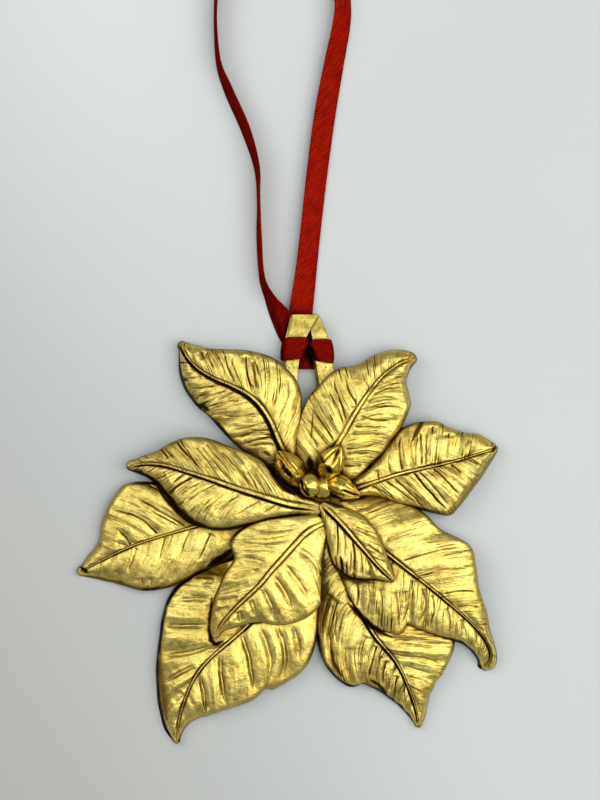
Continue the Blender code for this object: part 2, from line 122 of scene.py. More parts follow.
def placePiece(name, points, faces, material, attributes=None):
    # mesh object from points in millimetres
    mesh = bpy.data.meshes.new(name)
    mesh.from_pydata((np.asarray(points, float) * mm).tolist(), [], faces)
    for label, values in (attributes or {}).items():
        keepAtPoints(mesh, label, values)
    mesh.materials.append(material)
    mesh.shade_smooth()
    piece = bpy.data.objects.new(name, mesh)
    bpy.context.scene.collection.objects.link(piece)
    return piece


# Routes and runs

# steps in each span; ease: share of the length over which a direction is averaged, from so many samples
curve = {"steps": 24, "ease": 0.07, "samples": 7}


def between(a, b, c, d, t):
    # smooth run from b to c, with a and d as the neighbours that it heads away from and towards
    return 0.5 * (2 * b + (c - a) * t + (2 * a - 5 * b + 4 * c - d) * t**2 + (3 * b - a - 3 * c + d) * t**3)


def distances(line):
    # length of the line up to each of its points
    return np.concatenate([[0.0], np.cumsum(np.linalg.norm(np.diff(line[:, :3], axis=0), axis=1))])


def curveThrough(points, shares):
    # smooth curve through the points, read with its direction at shares of its length
    route = np.array(points, float)
    route = np.vstack([2 * route[0] - route[1], route, 2 * route[-1] - route[-2]])
    t = np.linspace(0.0, 1.0, curve["steps"], endpoint=False)[:, None]
    spans = [between(a, b, c, d, t) for a, b, c, d in zip(route[:-3], route[1:-2], route[2:-1], route[3:])]
    fine = np.vstack(spans + [route[-2:-1]])
    along = distances(fine)
    reach = np.asarray(shares) * along[-1]
    slope = np.gradient(fine, along, axis=0)
    place = np.stack([np.interp(reach, along, column) for column in fine.T], axis=1)
    nearby = reach[:, None] + along[-1] * curve["ease"] * np.linspace(-1.0, 1.0, curve["samples"])
    heading = np.stack([np.interp(nearby, along, column).mean(axis=1) for column in slope.T], axis=1)
    return place, heading / np.linalg.norm(heading, axis=1)[:, None], along[-1]


def runThrough(values, shares):
    # smooth run through values at equal steps
    spread = np.linspace(0.0, 1.0, len(values))
    points = np.stack([spread, np.asarray(values, float)], axis=1)
    points = np.vstack([2 * points[0] - points[1], points, 2 * points[-1] - points[-2]])
    place = np.asarray(shares) * (len(values) - 1)
    first = np.clip(place.astype(int), 0, len(values) - 2)
    t = place - first
    return between(*(points[first + k, 1] for k in range(4)), t)


def turned(heading, degrees):
    # flat directions turned to the left
    angle = np.radians(degrees)
    x, y = heading.T
    return np.stack([x * np.cos(angle) - y * np.sin(angle), x * np.sin(angle) + y * np.cos(angle)], axis=1)


def softStep(low, high, value):
    # 0 below low, 1 above high and an eased ramp between
    t = np.clip((value - low) / (high - low), 0.0, 1.0)
    return t * t * (3 - 2 * t)


def latticeNoise(x, y, seed):
    # smooth noise of about one cell, from -1 to 1
    cells = 64
    table = np.random.RandomState(seed).rand(cells, cells) * 2 - 1
    column, row = np.floor(x).astype(int), np.floor(y).astype(int)
    u, v = x - column, y - row
    u, v = u * u * (3 - 2 * u), v * v * (3 - 2 * v)
    corner = [[table[(column + i) % cells, (row + j) % cells] for i in (0, 1)] for j in (0, 1)]
    low, high = (left * (1 - u) + right * u for left, right in corner)
    return low * (1 - v) + high * v


# Bracts: the solid's routes, half-widths, heights and drops, refined against the photograph

sheet = {
    "thickness": 1.1,
    "margin": 0.8,  # thickness at the margin
    "belly": 0.5,
    "dropStart": 0.3,  # share of the length over which the margins start to fall
    "tip": 0.35,
    "leastHalf": 0.004,
    "baseSlant": 68.0,  # degrees between the midrib and the side directions
    "tipSlant": 38.0,
    "rowStep": 0.15,
    "columnStep": 0.34,
    "hiddenStep": 0.7,
    "marginSteps": (0.85, 0.5, 0.25, 0.1, 0.0),  # extra columns, so far from the margin
    "backColumns": 13,
    "leastFace": 0.35,  # the face never lies lower than this
    "leastWall": 0.25,
    "scallop": (1.9, 0.4),  # length, and share by which the rolled margin's width wanders
    "ruffle": (3.1, 0.12),  # length and reach of the margin's small bends
}
relief = {
    "ribHeight": 0.42,
    "veinWidth": 0.11,
    "veinDepth": 0.6,  # of the depth written at each vein
    "twinGap": 0.33,  # from the middle of a double vein to each of its lines
    "twinRidge": 0.45,
    "lip": 0.3,  # share of a vein's depth that its lips stand up
    "wander": (0.1, 1.3),  # how far a vein strays, and over what length
    "cushion": 0.36,
    "twinCushion": 0.6,
    "cushionReach": 2.0,
    "fold": (1.2, 6.0),  # width and length of a soft fold
    "crease": (0.35, 0.6, 4.5),  # share of a fold's depth, width and length
    "bulge": (2.3, 9.0),
    "swell": (0.14, 3.7),  # height and size
    "marginWave": (0.25, 2.4),
    "marginRound": 0.32,
}
# rib: points of the midrib; left, right: half-widths at tenths of it; heights: of the face along it;
# droop: how far each half falls to its margin; curl: drop, width and painted shade with tarnish of each
# turned-down margin;
# tuck: how far each half dives under its neighbour, and up to where; lean: how its veins lean forward;
# groove: depth of the groove on each side of the midrib; folds: depth of each half's soft folds;
# scores: how strongly each half is scored along its veins; bulges: depth of each half's broad folds;
# notches: side, place, depth and spread of a nick in the margin; ribWide: half-width of the midrib;
# blunt: radius of the tip; twin: its veins are double; hidden: share of it that lies under other bracts;
# veins: depth, then the photograph's pixels that the vein passes; shadowStains: strength of the painted shadow
# and tarnish, half-width, then its pixels
bracts = {
    "upperLeft": {
        "rib": ((2.7, 10.3), (-1.1, 17.7), (-3.2, 22.6), (-5.4, 26.1), (-7.95, 28.5), (-11.4, 30.4),
                (-15.2, 32.0), (-18.6, 34.0), (-21.0, 36.6), (-22.6, 39.8)),
        "left": (2.2, 5.0, 9.9, 12.7, 13.0, 11.4, 9.4, 7.4, 4.9, 2.2),
        "right": (1.0, 2.0, 6.2, 9.6, 10.5, 9.7, 8.3, 7.1, 5.6, 3.1),
        "heights": (5.2, 6.8, 5.8, 3.4), "droop": (1.8, 1.0), "curl": ((1.7, 1.1, 1.0), (0.5, 0.8, 0.2)),
        "groove": (1.3, 0.2), "folds": (0.18, 0.13), "ribWide": 0.42, "blunt": 0.9,
        "lean": ((-0.01, -0.012), (0.19, 0.007)), "scores": (0.9, 0.8), "bulges": (0.25, 0.2), "hidden": 0.1,
        "shadowStains": (
            (0.8, 0.6, 199, 404, 209, 410), (0.6, 0.5, 187, 393, 194, 398), (0.6, 0.45, 181, 377, 188, 381),
            (0.6, 0.3, 253, 361, 256.5, 388), (0.95, 0.5, 213, 419, 224, 431.5, 233, 443),
            (0.8, 0.3, 177.5, 342, 179, 352), (0.6, 0.45, 264, 451, 271, 456), (0.9, 0.9, 308, 459, 311, 472)),
        "veins": (
            (0.55, 245.8, 355, 246.7, 368.3, 250.8, 385, 257.5, 392.5),
            (0.22, 253.3, 360, 255, 378.3, 262.5, 393.3),
            (0.38, 225, 355, 228.3, 368.3, 235, 381.7, 237.5, 385),
            (0.25, 231.7, 358.3, 236.7, 375, 243.3, 387.5), (0.32, 206.7, 351.7, 210.8, 361.7, 215, 370),
            (0.3, 201.7, 351.7, 205, 360), (0.22, 218.3, 355, 224.2, 370, 226.7, 378.3),
            (0.2, 269.2, 363.3, 268.3, 383.3, 267.5, 400), (0.2, 278.3, 378.3, 275.8, 400, 275, 405),
            (0.22, 288.3, 380, 288.3, 396.7, 276.7, 423.3), (0.2, 298.3, 396.7, 295, 413.3, 281.7, 440),
            (0.2, 266.7, 420.8, 246.7, 427.5, 226.7, 430), (0.42, 271.7, 430, 256.7, 430.8, 235, 438.3),
            (0.42, 275, 436.7, 260, 438.3, 240, 445), (0.3, 275, 445, 262, 444, 248.3, 446.7),
            (0.2, 256.7, 413.3, 236.7, 416.7, 221.7, 415), (0.18, 240, 400, 220, 403.3, 203.3, 407.5),
            (0.18, 226.7, 391.7, 206.7, 395, 191.7, 396.7), (0.22, 215, 385.8, 196.7, 388.3, 183.3, 388.3),
            (0.25, 201.7, 376.7, 186.7, 378.3, 180, 376.7), (0.35, 191.7, 403.3, 206.7, 408.3)),
    },
    "upperRight": {
        "rib": ((6.2, 9.3), (7.6, 12.0), (9.9, 17.1), (11.8, 20.4), (13.1, 22.8), (14.7, 25.5), (16.1, 27.7),
                (17.6, 29.7), (19.2, 31.7), (20.9, 33.3), (23.0, 34.8), (25.1, 35.8), (27.3, 36.4)),
        "left": (11.2, 10.8, 10.9, 11.6, 10.9, 9.8, 7.0, 5.8, 4.5, 2.7),
        "right": (6.4, 8.5, 11.1, 11.4, 12.0, 11.6, 9.3, 6.6, 4.5, 2.6),
        "heights": (5.0, 7.0, 6.6, 3.8), "droop": (1.2, 1.2), "curl": ((0.4, 0.8, 0.15), (0.9, 1.3, 0.15)),
        "groove": (0.25, 0.2), "folds": (0.16, 0.1), "ribWide": 0.45, "blunt": 1.4,
        "lean": ((-0.05, 0.007), (0.45, -0.04)), "scores": (0.8, 0.6), "bulges": (0.2, 0.2), "hidden": 0.1,
        "shadowStains": (
            (0.95, 0.9, 309, 458, 312, 472), (0.5, 0.25, 313, 412, 311, 440)),
        "veins": (
            (0.38, 334.3, 440.7, 323.6, 425, 313.6, 410.7, 309.3, 402.1),
            (0.26, 327.9, 445, 317.9, 433.6, 306.4, 417.9),
            (0.24, 342.9, 423.6, 337.9, 409.3, 329.3, 392.1, 326.4, 385),
            (0.42, 345.7, 420.7, 342.1, 406.4, 335, 387.9, 333.6, 376.4),
            (0.3, 356.4, 405, 349.3, 392.1, 345, 377.9, 342.1, 369.3),
            (0.16, 369.3, 388.6, 363.6, 377.9, 362.9, 369.3), (0.18, 350, 397, 346, 385),
            (0.35, 355.5, 407, 355, 398), (0.2, 318, 448, 309, 434, 302, 425),
            (0.2, 362.1, 407.9, 377.9, 406.4, 393.6, 406.4, 407.9, 412.1),
            (0.18, 366.4, 402.1, 382.1, 396.4, 399.3, 397.9), (0.2, 372.1, 395, 385, 389.3, 405, 386.4),
            (0.2, 376.4, 389.3, 390.7, 384.3, 405, 382.1), (0.15, 382.1, 383.6, 396.4, 377.9, 406.4, 376.4),
            (0.28, 359.3, 415, 376.4, 420.7, 395, 419.3, 402.1, 420.7),
            (0.22, 353.6, 426.4, 370.7, 426.4, 390.7, 427.9), (0.26, 344.3, 447.9, 359.3, 447.9, 385, 440.7),
            (0.35, 343.6, 465.3, 362.1, 465.7), (0.2, 346.4, 453.6, 370.7, 453.6),
            (0.22, 350, 434, 372, 434, 388, 435)),
    },
    "right": {
        "rib": ((9.0, 7.3), (14.7, 9.1), (23.7, 12.1), (34.2, 14.5), (44.4, 17.4)),
        "left": (2.0, 3.0, 4.8, 9.3, 11.2, 11.1, 9.0, 7.1, 5.6, 3.1),
        "right": (1.5, 1.9, 3.6, 9.4, 13.6, 12.4, 10.0, 7.7, 5.4, 3.0),
        "heights": (5.2, 6.4, 6.0, 3.2), "droop": (1.2, 1.5), "curl": ((0.4, 0.9, 0.15), (1.3, 2.0, 0.35)),
        "groove": (0.15, 0.3), "folds": (0.11, 0.18), "ribWide": 0.3, "blunt": 0.8,
        "lean": ((-0.4, 0.008), (0.07, -0.014)), "tuck": ((1.9, 0.36), (0.0, 0.1)), "scores": (0.6, 0.8),
        "bulges": (0.2, 0.25), "hidden": 0.1,
        "shadowStains": (
            (0.7, 0.5, 428, 410, 420, 425, 412, 440), (0.8, 0.4, 496, 446, 492, 452)),
        "veins": (
            (0.42, 402.1, 470.7, 399.3, 456.4, 399.3, 440.7, 402.1, 432.1),
            (0.22, 413.6, 467.9, 410.7, 449.3, 412.1, 432.1), (0.32, 421.4, 465.7, 420.7, 446.4, 419.3, 426.4),
            (0.3, 425, 465, 425.7, 446.4, 427.9, 423.6), (0.2, 435, 462.9, 436.4, 443.6, 439.3, 426.4),
            (0.16, 446.4, 459.3, 447.9, 443.6, 449.3, 432.1), (0.14, 460.7, 456.4, 466.4, 443.6, 470.7, 435),
            (0.25, 390.7, 476.4, 387.9, 460.7, 390.7, 449.3), (0.22, 377.9, 480.7, 376.4, 467.9),
            (0.5, 432.1, 426.4, 432.1, 433.6), (0.5, 447.9, 433.6, 447.9, 438),
            (0.55, 412.1, 471.4, 425, 486.4, 440.7, 503.6, 449.3, 512.9),
            (0.3, 417.9, 470.7, 430.7, 483.6, 453.6, 510.7), (0.35, 432.1, 467.9, 445, 479.3, 462.1, 497.9),
            (0.3, 450.7, 464.3, 462.1, 473.6), (0.2, 469.3, 459.3, 480.7, 465),
            (0.35, 393.6, 477.9, 407.9, 490.7, 422.1, 506.4, 429.3, 512.1),
            (0.32, 385, 479.3, 399.3, 490.7, 420.7, 506.4), (0.25, 370.7, 485, 387.9, 495, 402.1, 505)),
    },
    "leftTop": {
        "rib": ((7.3, 4.6), (4.4, 5.2), (1.5, 5.6), (-1.3, 6.3), (-5.1, 7.5), (-10.9, 9.3), (-15.6, 10.9),
                (-20.4, 12.4), (-25.3, 13.8), (-29.5, 14.1), (-33.8, 13.4)),
        "left": (1.8, 2.6, 5.8, 11.1, 12.2, 11.5, 9.2, 6.9, 4.9, 3.0),
        "right": (1.6, 3.0, 6.4, 8.6, 9.3, 9.8, 8.9, 6.6, 3.6, 2.0),
        "heights": (7.0, 8.6, 7.4, 4.4), "droop": (1.2, 0.6), "curl": ((2.0, 2.0, 1.0), (0.7, 1.2, 0.25)),
        "groove": (0.7, 0.2), "folds": (0.1, 0.16), "ribWide": 0.48, "blunt": 1.1,
        "lean": ((0.2, -0.03), (0.27, 0.03)), "scores": (0.6, 0.8), "bulges": (0.15, 0.2),
        "shadowStains": (
            (1.0, 0.9, 160, 489, 168, 497.5, 176, 507, 185, 516, 195, 523, 203, 527),
            (1.0, 0.4, 200, 526, 225, 532, 249, 523), (0.6, 0.5, 169, 493, 175, 490),
            (0.45, 0.5, 179, 505, 185, 500), (1.0, 0.3, 125, 467, 131, 471, 140, 471),
            (0.4, 0.35, 190, 512, 197, 505), (1.0, 0.75, 262, 454, 268, 463, 275, 475, 284, 486, 295, 494)),
        "veins": (
            (0.5, 176.7, 440.8, 186.7, 453.3, 200, 468.3), (0.4, 180, 438.3, 191.7, 456.7, 201.7, 470),
            (0.45, 160, 448.3, 166.7, 455, 170, 460), (0.4, 163.3, 446.7, 175, 458.3),
            (0.28, 196.7, 446.7, 210, 463.3, 220, 478.3), (0.26, 201.7, 445, 220, 466.7, 233.3, 483.3),
            (0.2, 205, 441.7, 226.7, 466.7, 235, 480), (0.2, 220, 450, 240, 470, 253.3, 490),
            (0.28, 248.3, 470, 258.3, 488.3, 263.3, 496.7), (0.2, 235, 450, 245, 463.3),
            (0.45, 193.3, 476.7, 181.7, 483.3, 163.3, 498.3), (0.3, 166.7, 475, 153.3, 480),
            (0.22, 216.7, 483.3, 198.3, 493.3, 183.3, 506.7), (0.22, 240, 494.2, 226.7, 503.3, 215, 515),
            (0.24, 260, 500, 243.3, 510, 235, 515), (0.2, 276.7, 503.3, 263.3, 513.3),
            (0.2, 205, 480, 186.7, 490, 176.7, 498.3), (0.35, 185, 473, 172, 484)),
    },
    "farLeft": {
        "rib": ((5.2, 6.7), (-7.8, 4.2), (-19.3, 1.0), (-33.0, -3.4), (-44.4, -9.2)),
        "left": (1.5, 4.6, 8.6, 10.9, 11.9, 13.7, 13.0, 10.2, 7.0, 3.8),
        "right": (1.5, 2.0, 3.2, 5.8, 11.7, 15.8, 13.7, 9.7, 5.1, 2.8),
        "heights": (3.4, 4.6, 4.2, 1.5), "droop": (1.2, 1.0), "curl": ((0.9, 1.6, 0.5), (0.7, 1.2, 0.25)),
        "groove": (0.2, 0.15), "folds": (0.07, 0.06), "ribWide": 0.26, "blunt": 1.1,
        "lean": ((-0.27, 0.03), (-0.15, 0.02)), "scores": (0.35, 0.35), "bulges": (0.12, 0.12), "hidden": 0.32,
        "shadowStains": (
            (0.9, 0.5, 155, 484, 165, 497, 178, 512, 190, 522, 205, 528), (0.9, 0.5, 80, 568, 87, 573),
            (1.0, 0.8, 234, 548, 222, 558, 208, 566), (0.9, 0.35, 141, 590, 152, 590, 160, 587)),
        "veins": (
            (0.4, 158.3, 534.2, 140, 518.3, 121.7, 511.7, 106.7, 510),
            (0.3, 186.7, 526.7, 166.7, 515, 146.7, 503.3, 133.3, 496.7),
            (0.22, 181, 527, 163, 517.5, 145, 507.5), (0.36, 131.7, 546.7, 123.3, 535, 116.7, 530),
            (0.26, 130, 546.7, 115, 541.7), (0.2, 160, 490, 146.7, 483.3),
            (0.24, 165.5, 536.4, 162.6, 547.8, 158.8, 561.1), (0.22, 137, 547.8, 132.2, 561.1, 126.5, 574.4),
            (0.24, 191.1, 528.8, 183.5, 545.9, 177.8, 561.1), (0.32, 211.1, 532.6, 204.4, 547.8, 196.8, 563),
            (0.25, 151.2, 578, 151.2, 588), (0.2, 141.7, 578, 142.7, 587), (0.2, 114.2, 570.6, 120.8, 578.2),
            (0.16, 150, 541, 146, 555, 141, 568), (0.16, 173, 533, 170, 548), (0.16, 140, 508, 125, 501)),
    },
    "lowerLeft": {
        "rib": ((6.5, 2.7), (-0.4, -10.8), (-8.6, -20.0), (-18.0, -28.8), (-22.2, -37.6), (-23.4, -45.2)),
        "left": (2.0, 4.7, 9.8, 16.5, 16.5, 15.3, 13.1, 10.1, 6.2, 2.5),
        "right": (2.0, 6.0, 17.3, 20.0, 19.4, 17.0, 13.2, 9.6, 6.9, 4.2),
        "heights": (3.2, 4.5, 4.3, 1.5), "droop": (1.2, 1.8), "curl": ((0.8, 1.0, 0.25), (1.4, 1.2, 1.0)),
        "notches": (("left", 0.438, 1.2, 0.03),), "groove": (0.25, 0.2), "folds": (0.08, 0.07), "ribWide": 0.33,
        "blunt": 0.7, "twin": True, "lean": ((-0.3, 0.02), (0.6, -0.016)), "scores": (0.15, 0.2),
        "bulges": (0.2, 0.25), "hidden": 0.15,
        "shadowStains": (
            (0.5, 2.6, 198, 577, 214, 568, 232, 575), (1.0, 1.3, 224, 552, 231, 557),
            (1.0, 0.5, 163, 600, 158, 625, 156.5, 650, 156, 675, 157.5, 700, 162, 722, 170, 742),
            (1.0, 0.55, 212, 598, 210.5, 615, 210, 630, 211, 640, 216, 644, 223, 641),
            (0.8, 0.5, 236, 620, 250, 622, 262, 622), (0.4, 1.2, 158, 640, 160, 680, 166, 720),
            (0.22, 1.6, 300, 640, 290, 670, 270, 684), (0.7, 0.3, 178, 741, 180, 748)),
        "veins": (
            (0.42, 211.4, 599.3, 194.3, 598.6, 168.6, 601.4), (0.6, 208.6, 625.7, 190, 625.7, 161.4, 626.4),
            (0.45, 215.7, 645.7, 200, 650, 182.9, 654.3, 160, 655.7),
            (0.45, 197.1, 665.7, 181.4, 672.9, 160, 685.7), (0.2, 222.9, 574.3, 211.4, 570, 201.4, 568.6),
            (0.15, 214.3, 581.4, 202.9, 581.4), (0.14, 182.9, 691.4, 172.9, 704.3),
            (0.6, 199.3, 675.7, 202.9, 691.4, 205.7, 715.7),
            (0.6, 221.4, 652.9, 220, 668.6, 222.9, 690, 226.4, 708.6),
            (0.62, 240, 634.3, 247.1, 651.4, 251.4, 675.7, 252.9, 694.3),
            (0.58, 257.1, 624.3, 265.7, 642.9, 270, 661.4, 265.7, 690),
            (0.58, 274.3, 624.3, 282.9, 642.9, 285, 661.4, 280, 684.3),
            (0.32, 292.9, 624.3, 297.1, 642.9, 300, 662.9)),
    },
    "centreLeft": {
        "rib": ((8.1, 2.0), (4.5, 0.1), (1.6, -2.7), (-1.2, -5.8), (-3.2, -8.0), (-5.5, -10.8), (-8.8, -14.0),
                (-10.9, -16.1), (-13.0, -18.4), (-14.6, -21.0), (-15.4, -22.4)),
        "left": (3.4, 14.0, 14.4, 14.3, 12.8, 10.4, 7.1, 5.2, 3.5, 1.6),
        "right": (2.6, 5.3, 11.0, 12.2, 9.1, 8.8, 7.5, 6.1, 4.3, 2.6),
        "heights": (7.0, 8.8, 8.3, 6.6), "droop": (1.0, 1.2), "curl": ((0.6, 0.8, 0.15), (0.8, 0.7, 0.5)),
        "groove": (0.25, 0.3), "folds": (0.07, 0.06), "ribWide": 0.45, "blunt": 0.9, "twin": True,
        "lean": ((-0.6, 0.02), (0.66, -0.02)), "scores": (0.25, 0.35), "bulges": (0.15, 0.1),
        "veins": (
            (0.32, 250, 597.1, 254.3, 608.6, 254.3, 616), (0.35, 238.6, 608.6, 241.4, 621),
            (0.36, 261.4, 585.7, 270, 601.4, 274.3, 621), (0.42, 271.4, 574.3, 282.9, 587.1, 292.1, 608.6),
            (0.32, 281.4, 561.4, 294.3, 575.7, 304.3, 590, 311.4, 601.4),
            (0.32, 297.1, 547.1, 311.4, 557.1, 322.9, 574.3), (0.18, 280, 550, 261.4, 547.1, 237.1, 547.9),
            (0.2, 267.1, 562.9, 254.3, 558.6, 240, 557.9), (0.15, 262.9, 568.6, 245.7, 571.4, 228.6, 577.1),
            (0.14, 251.4, 582.9, 234.3, 587.1, 218.6, 592.9), (0.15, 240, 597.1, 225.7, 600, 217.1, 605.7),
            (0.15, 231.4, 605.7, 222.9, 608.6, 215.7, 614.3), (0.18, 301.7, 525, 276.7, 528.3, 251.7, 528.3),
            (0.18, 293.3, 535, 268.3, 540, 236.7, 538.3)),
    },
    "centreRight": {
        "rib": ((7.1, 6.0), (11.1, 2.1), (15.3, -2.8), (19.1, -7.2), (22.3, -10.4)),
        "left": (0.8, 2.6, 4.4, 5.3, 5.4, 4.9, 4.2, 3.5, 2.7, 1.7),
        "right": (1.2, 3.4, 6.3, 8.3, 8.5, 7.9, 6.5, 4.7, 3.1, 1.6),
        "heights": (7.4, 9.0, 9.0, 8.2), "droop": (0.4, 0.6), "curl": ((0.5, 0.7, 0.2), (1.6, 1.2, 1.0)),
        "groove": (0.15, 0.75), "folds": (0.16, 0.2), "ribWide": 0.36, "blunt": 0.6,
        "lean": ((0.9, 0.0), (0.5, -0.03)), "scores": (0.25, 0.5), "bulges": (0.1, 0.25),
        "shadowStains": (
            (1.0, 0.3, 340, 555, 343, 571), (0.9, 0.2, 346, 561, 347, 573), (0.8, 0.2, 335, 554, 337, 565),
            (0.8, 0.2, 352, 570, 355, 576)),
        "veins": (
            (0.5, 336.7, 518.3, 337.5, 543.3, 335, 561.7), (0.42, 352.5, 538.3, 354.2, 556.7, 353.3, 576.7),
            (0.25, 366.7, 555, 369.2, 566.7, 367.5, 578.3), (0.25, 345, 528.3, 345, 546.7, 343, 562),
            (0.22, 355, 525, 363.3, 528.3, 371.7, 531.7), (0.22, 366.7, 543.3, 375, 548.3, 381.7, 551.7),
            (0.18, 336.7, 508.3, 346.7, 510, 356.7, 513.3), (0.18, 375, 556.7, 383.3, 560, 386.7, 561.7),
            (0.2, 360, 548, 361, 562, 360, 576)),
    },
    "lowerRight": {
        "rib": ((8.6, 5.0), (15.3, -0.3), (23.7, -6.8), (32.1, -13.5), (39.5, -20.2), (42.8, -25.5),
                (41.7, -29.7)),
        "left": (6.5, 11.4, 13.0, 12.7, 14.5, 11.5, 8.0, 5.6, 2.9, 1.6),
        "right": (2.5, 9.0, 15.4, 16.9, 15.0, 11.0, 9.1, 6.7, 5.7, 4.6),
        "heights": (5.2, 6.5, 5.9, 1.5), "droop": (1.0, 1.4), "curl": ((0.4, 1.0, 0.2), (1.8, 1.5, 0.9)),
        "notches": (("right", 0.433, 1.9, 0.035),), "groove": (0.15, 0.6), "folds": (0.1, 0.26),
        "ribWide": 0.25, "blunt": 1.3, "lean": ((0.0, 0.01), (-0.15, 0.007)), "tuck": ((1.1, 0.24), (0.0, 0.1)),
        "scores": (0.5, 0.7), "bulges": (0.12, 0.35),
        "shadowStains": (
            (0.95, 0.45, 341, 583, 347, 596, 355, 608, 362, 616, 372, 625, 380, 630, 390, 633),
            (0.8, 0.25, 380.5, 617, 381.5, 627), (0.7, 0.5, 333, 568, 343, 577, 356, 580, 374, 582)),
        "veins": (
            (0.14, 385, 540, 405, 530, 421.7, 526.7), (0.2, 401.7, 560, 425, 553.3, 446.7, 548.3, 471.7, 546.7),
            (0.22, 421.7, 575, 441.7, 568.3, 461.7, 566.7, 471.7, 570),
            (0.24, 443.3, 593.3, 458.3, 590, 478.3, 590), (0.18, 455, 606.7, 471.7, 605, 483.3, 608.3),
            (0.2, 463.3, 616.7, 475, 625, 483.3, 631.7), (0.12, 355, 508.3, 375, 506.7),
            (0.22, 411.7, 578.3, 411.7, 596.7, 405, 613.3, 400, 630),
            (0.28, 431.7, 593.3, 433.3, 610, 428.3, 630), (0.3, 380, 586.7, 381.7, 605, 380.8, 632),
            (0.28, 395, 590, 398.3, 613.3, 396.7, 632), (0.5, 356.7, 581.7, 358.3, 596.7, 355, 608),
            (0.2, 446.7, 606.7, 450, 621.7, 448.3, 635), (0.16, 460, 618.3, 465, 630, 465, 640),
            (0.22, 421.7, 586.7, 425, 606.7, 415, 628), (0.16, 368, 578, 369, 600, 366, 620),
            (0.18, 404, 590, 406, 606)),
    },
    "bottom": {
        "rib": ((8.2, 2.3), (12.4, -10.3), (17.8, -21.0), (23.1, -27.8), (26.6, -36.0), (27.9, -41.8)),
        "left": (1.6, 3.5, 6.1, 9.2, 13.4, 16.9, 15.0, 9.9, 5.3, 3.0),
        "right": (1.5, 4.5, 6.8, 11.8, 14.3, 13.5, 9.9, 7.6, 5.0, 2.8),
        "heights": (3.2, 4.5, 4.4, 1.5), "droop": (1.0, 1.2), "curl": ((0.5, 1.0, 0.15), (1.3, 1.1, 0.9)),
        "notches": (("right", 0.55, 1.3, 0.045), ("left", 0.735, 0.5, 0.03)), "groove": (0.15, 0.8),
        "folds": (0.1, 0.2), "ribWide": 0.28, "blunt": 0.8, "lean": ((0.12, -0.005), (-0.39, 0.058)),
        "scores": (0.5, 0.8), "bulges": (0.2, 0.55), "hidden": 0.2,
        "shadowStains": (
            (0.35, 1.6, 324, 596, 322, 612, 322, 632), (0.5, 0.5, 326, 592, 338, 601),
            (0.7, 0.4, 330, 645, 334, 663, 342, 676), (0.8, 0.4, 370, 680, 378, 684, 387, 694),
            (0.9, 0.5, 348, 603, 354, 609, 362, 618, 371, 626, 381, 632, 392, 637)),
        "veins": (
            (0.5, 376.7, 645, 371.7, 663.3, 367.5, 683.3), (0.3, 366.7, 635, 361.7, 648.3, 360, 663.3),
            (0.42, 386.7, 660, 383.3, 673.3, 383.3, 688.3), (0.35, 396.7, 675, 395, 688.3, 393.3, 701.7),
            (0.5, 338.3, 600, 333.3, 616.7, 330, 633.3, 331.7, 653.3),
            (0.22, 350, 646.7, 349.2, 663.3, 350, 680), (0.28, 380, 655, 376.7, 671.7, 375, 685),
            (0.25, 405, 686.7, 403.3, 700), (0.24, 398.3, 655, 415, 656.7, 431.7, 660, 446.7, 668.3),
            (0.18, 403.3, 665, 418.3, 670, 433.3, 675), (0.16, 408.3, 676.7, 421.7, 680, 431.7, 686.7),
            (0.12, 391.7, 640, 411.7, 640, 435, 640), (0.25, 337, 610, 335, 630, 339, 650),
            (0.42, 328, 600, 323, 620, 323, 642), (0.35, 334, 604, 329, 626, 328, 648),
            (0.2, 391, 668, 389, 682, 388, 695)),
    },
}


def halfWidths(bract, along, length, slant):
    # the rounded tip sets the least width that a slanting side direction reaches
    radius = bract["blunt"]
    behind = radius - (1 - along) * length
    lean = np.radians(slant)
    ball = -behind * np.cos(lean) + np.sqrt(np.maximum(radius**2 - (behind * np.sin(lean)) ** 2, 0.0))
    ball = np.where(-behind > radius / np.tan(lean), radius / np.sin(lean), ball)
    widths = []
    for side in ("left", "right"):
        run = runThrough(bract[side] + (sheet["tip"],), along)
        for notchSide, place, depth, spread in bract.get("notches", ()):
            if notchSide == side:
                reach = np.where(along < place, 0.45 * spread, spread)  # steeper on the side of the base
                run = run - depth * np.exp(-np.abs((along - place) / reach) ** 1.5)
        run = run * softStep(-0.1, 1.2, (1 - along) * length)
        widths.append(np.maximum(run, np.maximum(ball, sheet["leastHalf"])))
    return widths


def bladeFrame(bract, along):
    # midrib places, side directions and half-widths at the stations
    place, heading, length = curveThrough(bract["rib"], along)
    slant = sheet["baseSlant"] + (sheet["tipSlant"] - sheet["baseSlant"]) * along
    widths = halfWidths(bract, along, length, slant)
    return place, (turned(heading, slant), turned(heading, -slant)), widths, length


def turnDown(bract, along, share, side, width, length):
    # how far the rolled margin has turned, from 0 inside it to 1 at the edge; its width wanders
    wide = bract["curl"][side][1]
    span, strength = sheet["scallop"]
    run = along[:, None] * length + 0 * share
    scallop = 1 + strength * latticeNoise(run / span, 0 * share + 3.5, side + 41)
    wide = wide * scallop * softStep(0.5, 4.0, width)[:, None]
    inside = (1 - share) * width[:, None]
    start = np.minimum(1.0, along / sheet["dropStart"])[:, None]
    return np.clip(1 - inside / np.maximum(wide, 0.05), 0.0, 1.0) ** 2 * start


def bladeHeight(bract, along, share, side, width, length):
    # smooth height of the face at a share of the way from the midrib to a margin
    level = runThrough(bract["heights"], along)[:, None]
    start = np.minimum(1.0, along / sheet["dropStart"])[:, None]
    turn = turnDown(bract, along, share, side, width, length)
    fall = bract["curl"][side][0] * turn * softStep(0.5, 3.0, width)[:, None]
    dive, until = bract.get("tuck", ((0.0, 0.1), (0.0, 0.1)))[side]
    fall = fall + dive * softStep(0.35, 0.9, share) * (1 - softStep(until - 0.1, until, along))[:, None]
    return level + sheet["belly"] * np.sin(math.pi * share) - bract["droop"][side] * start * share**2 - fall


def grooveWidth(bract, side):
    return 0.08 + 0.2 * bract["groove"][side]


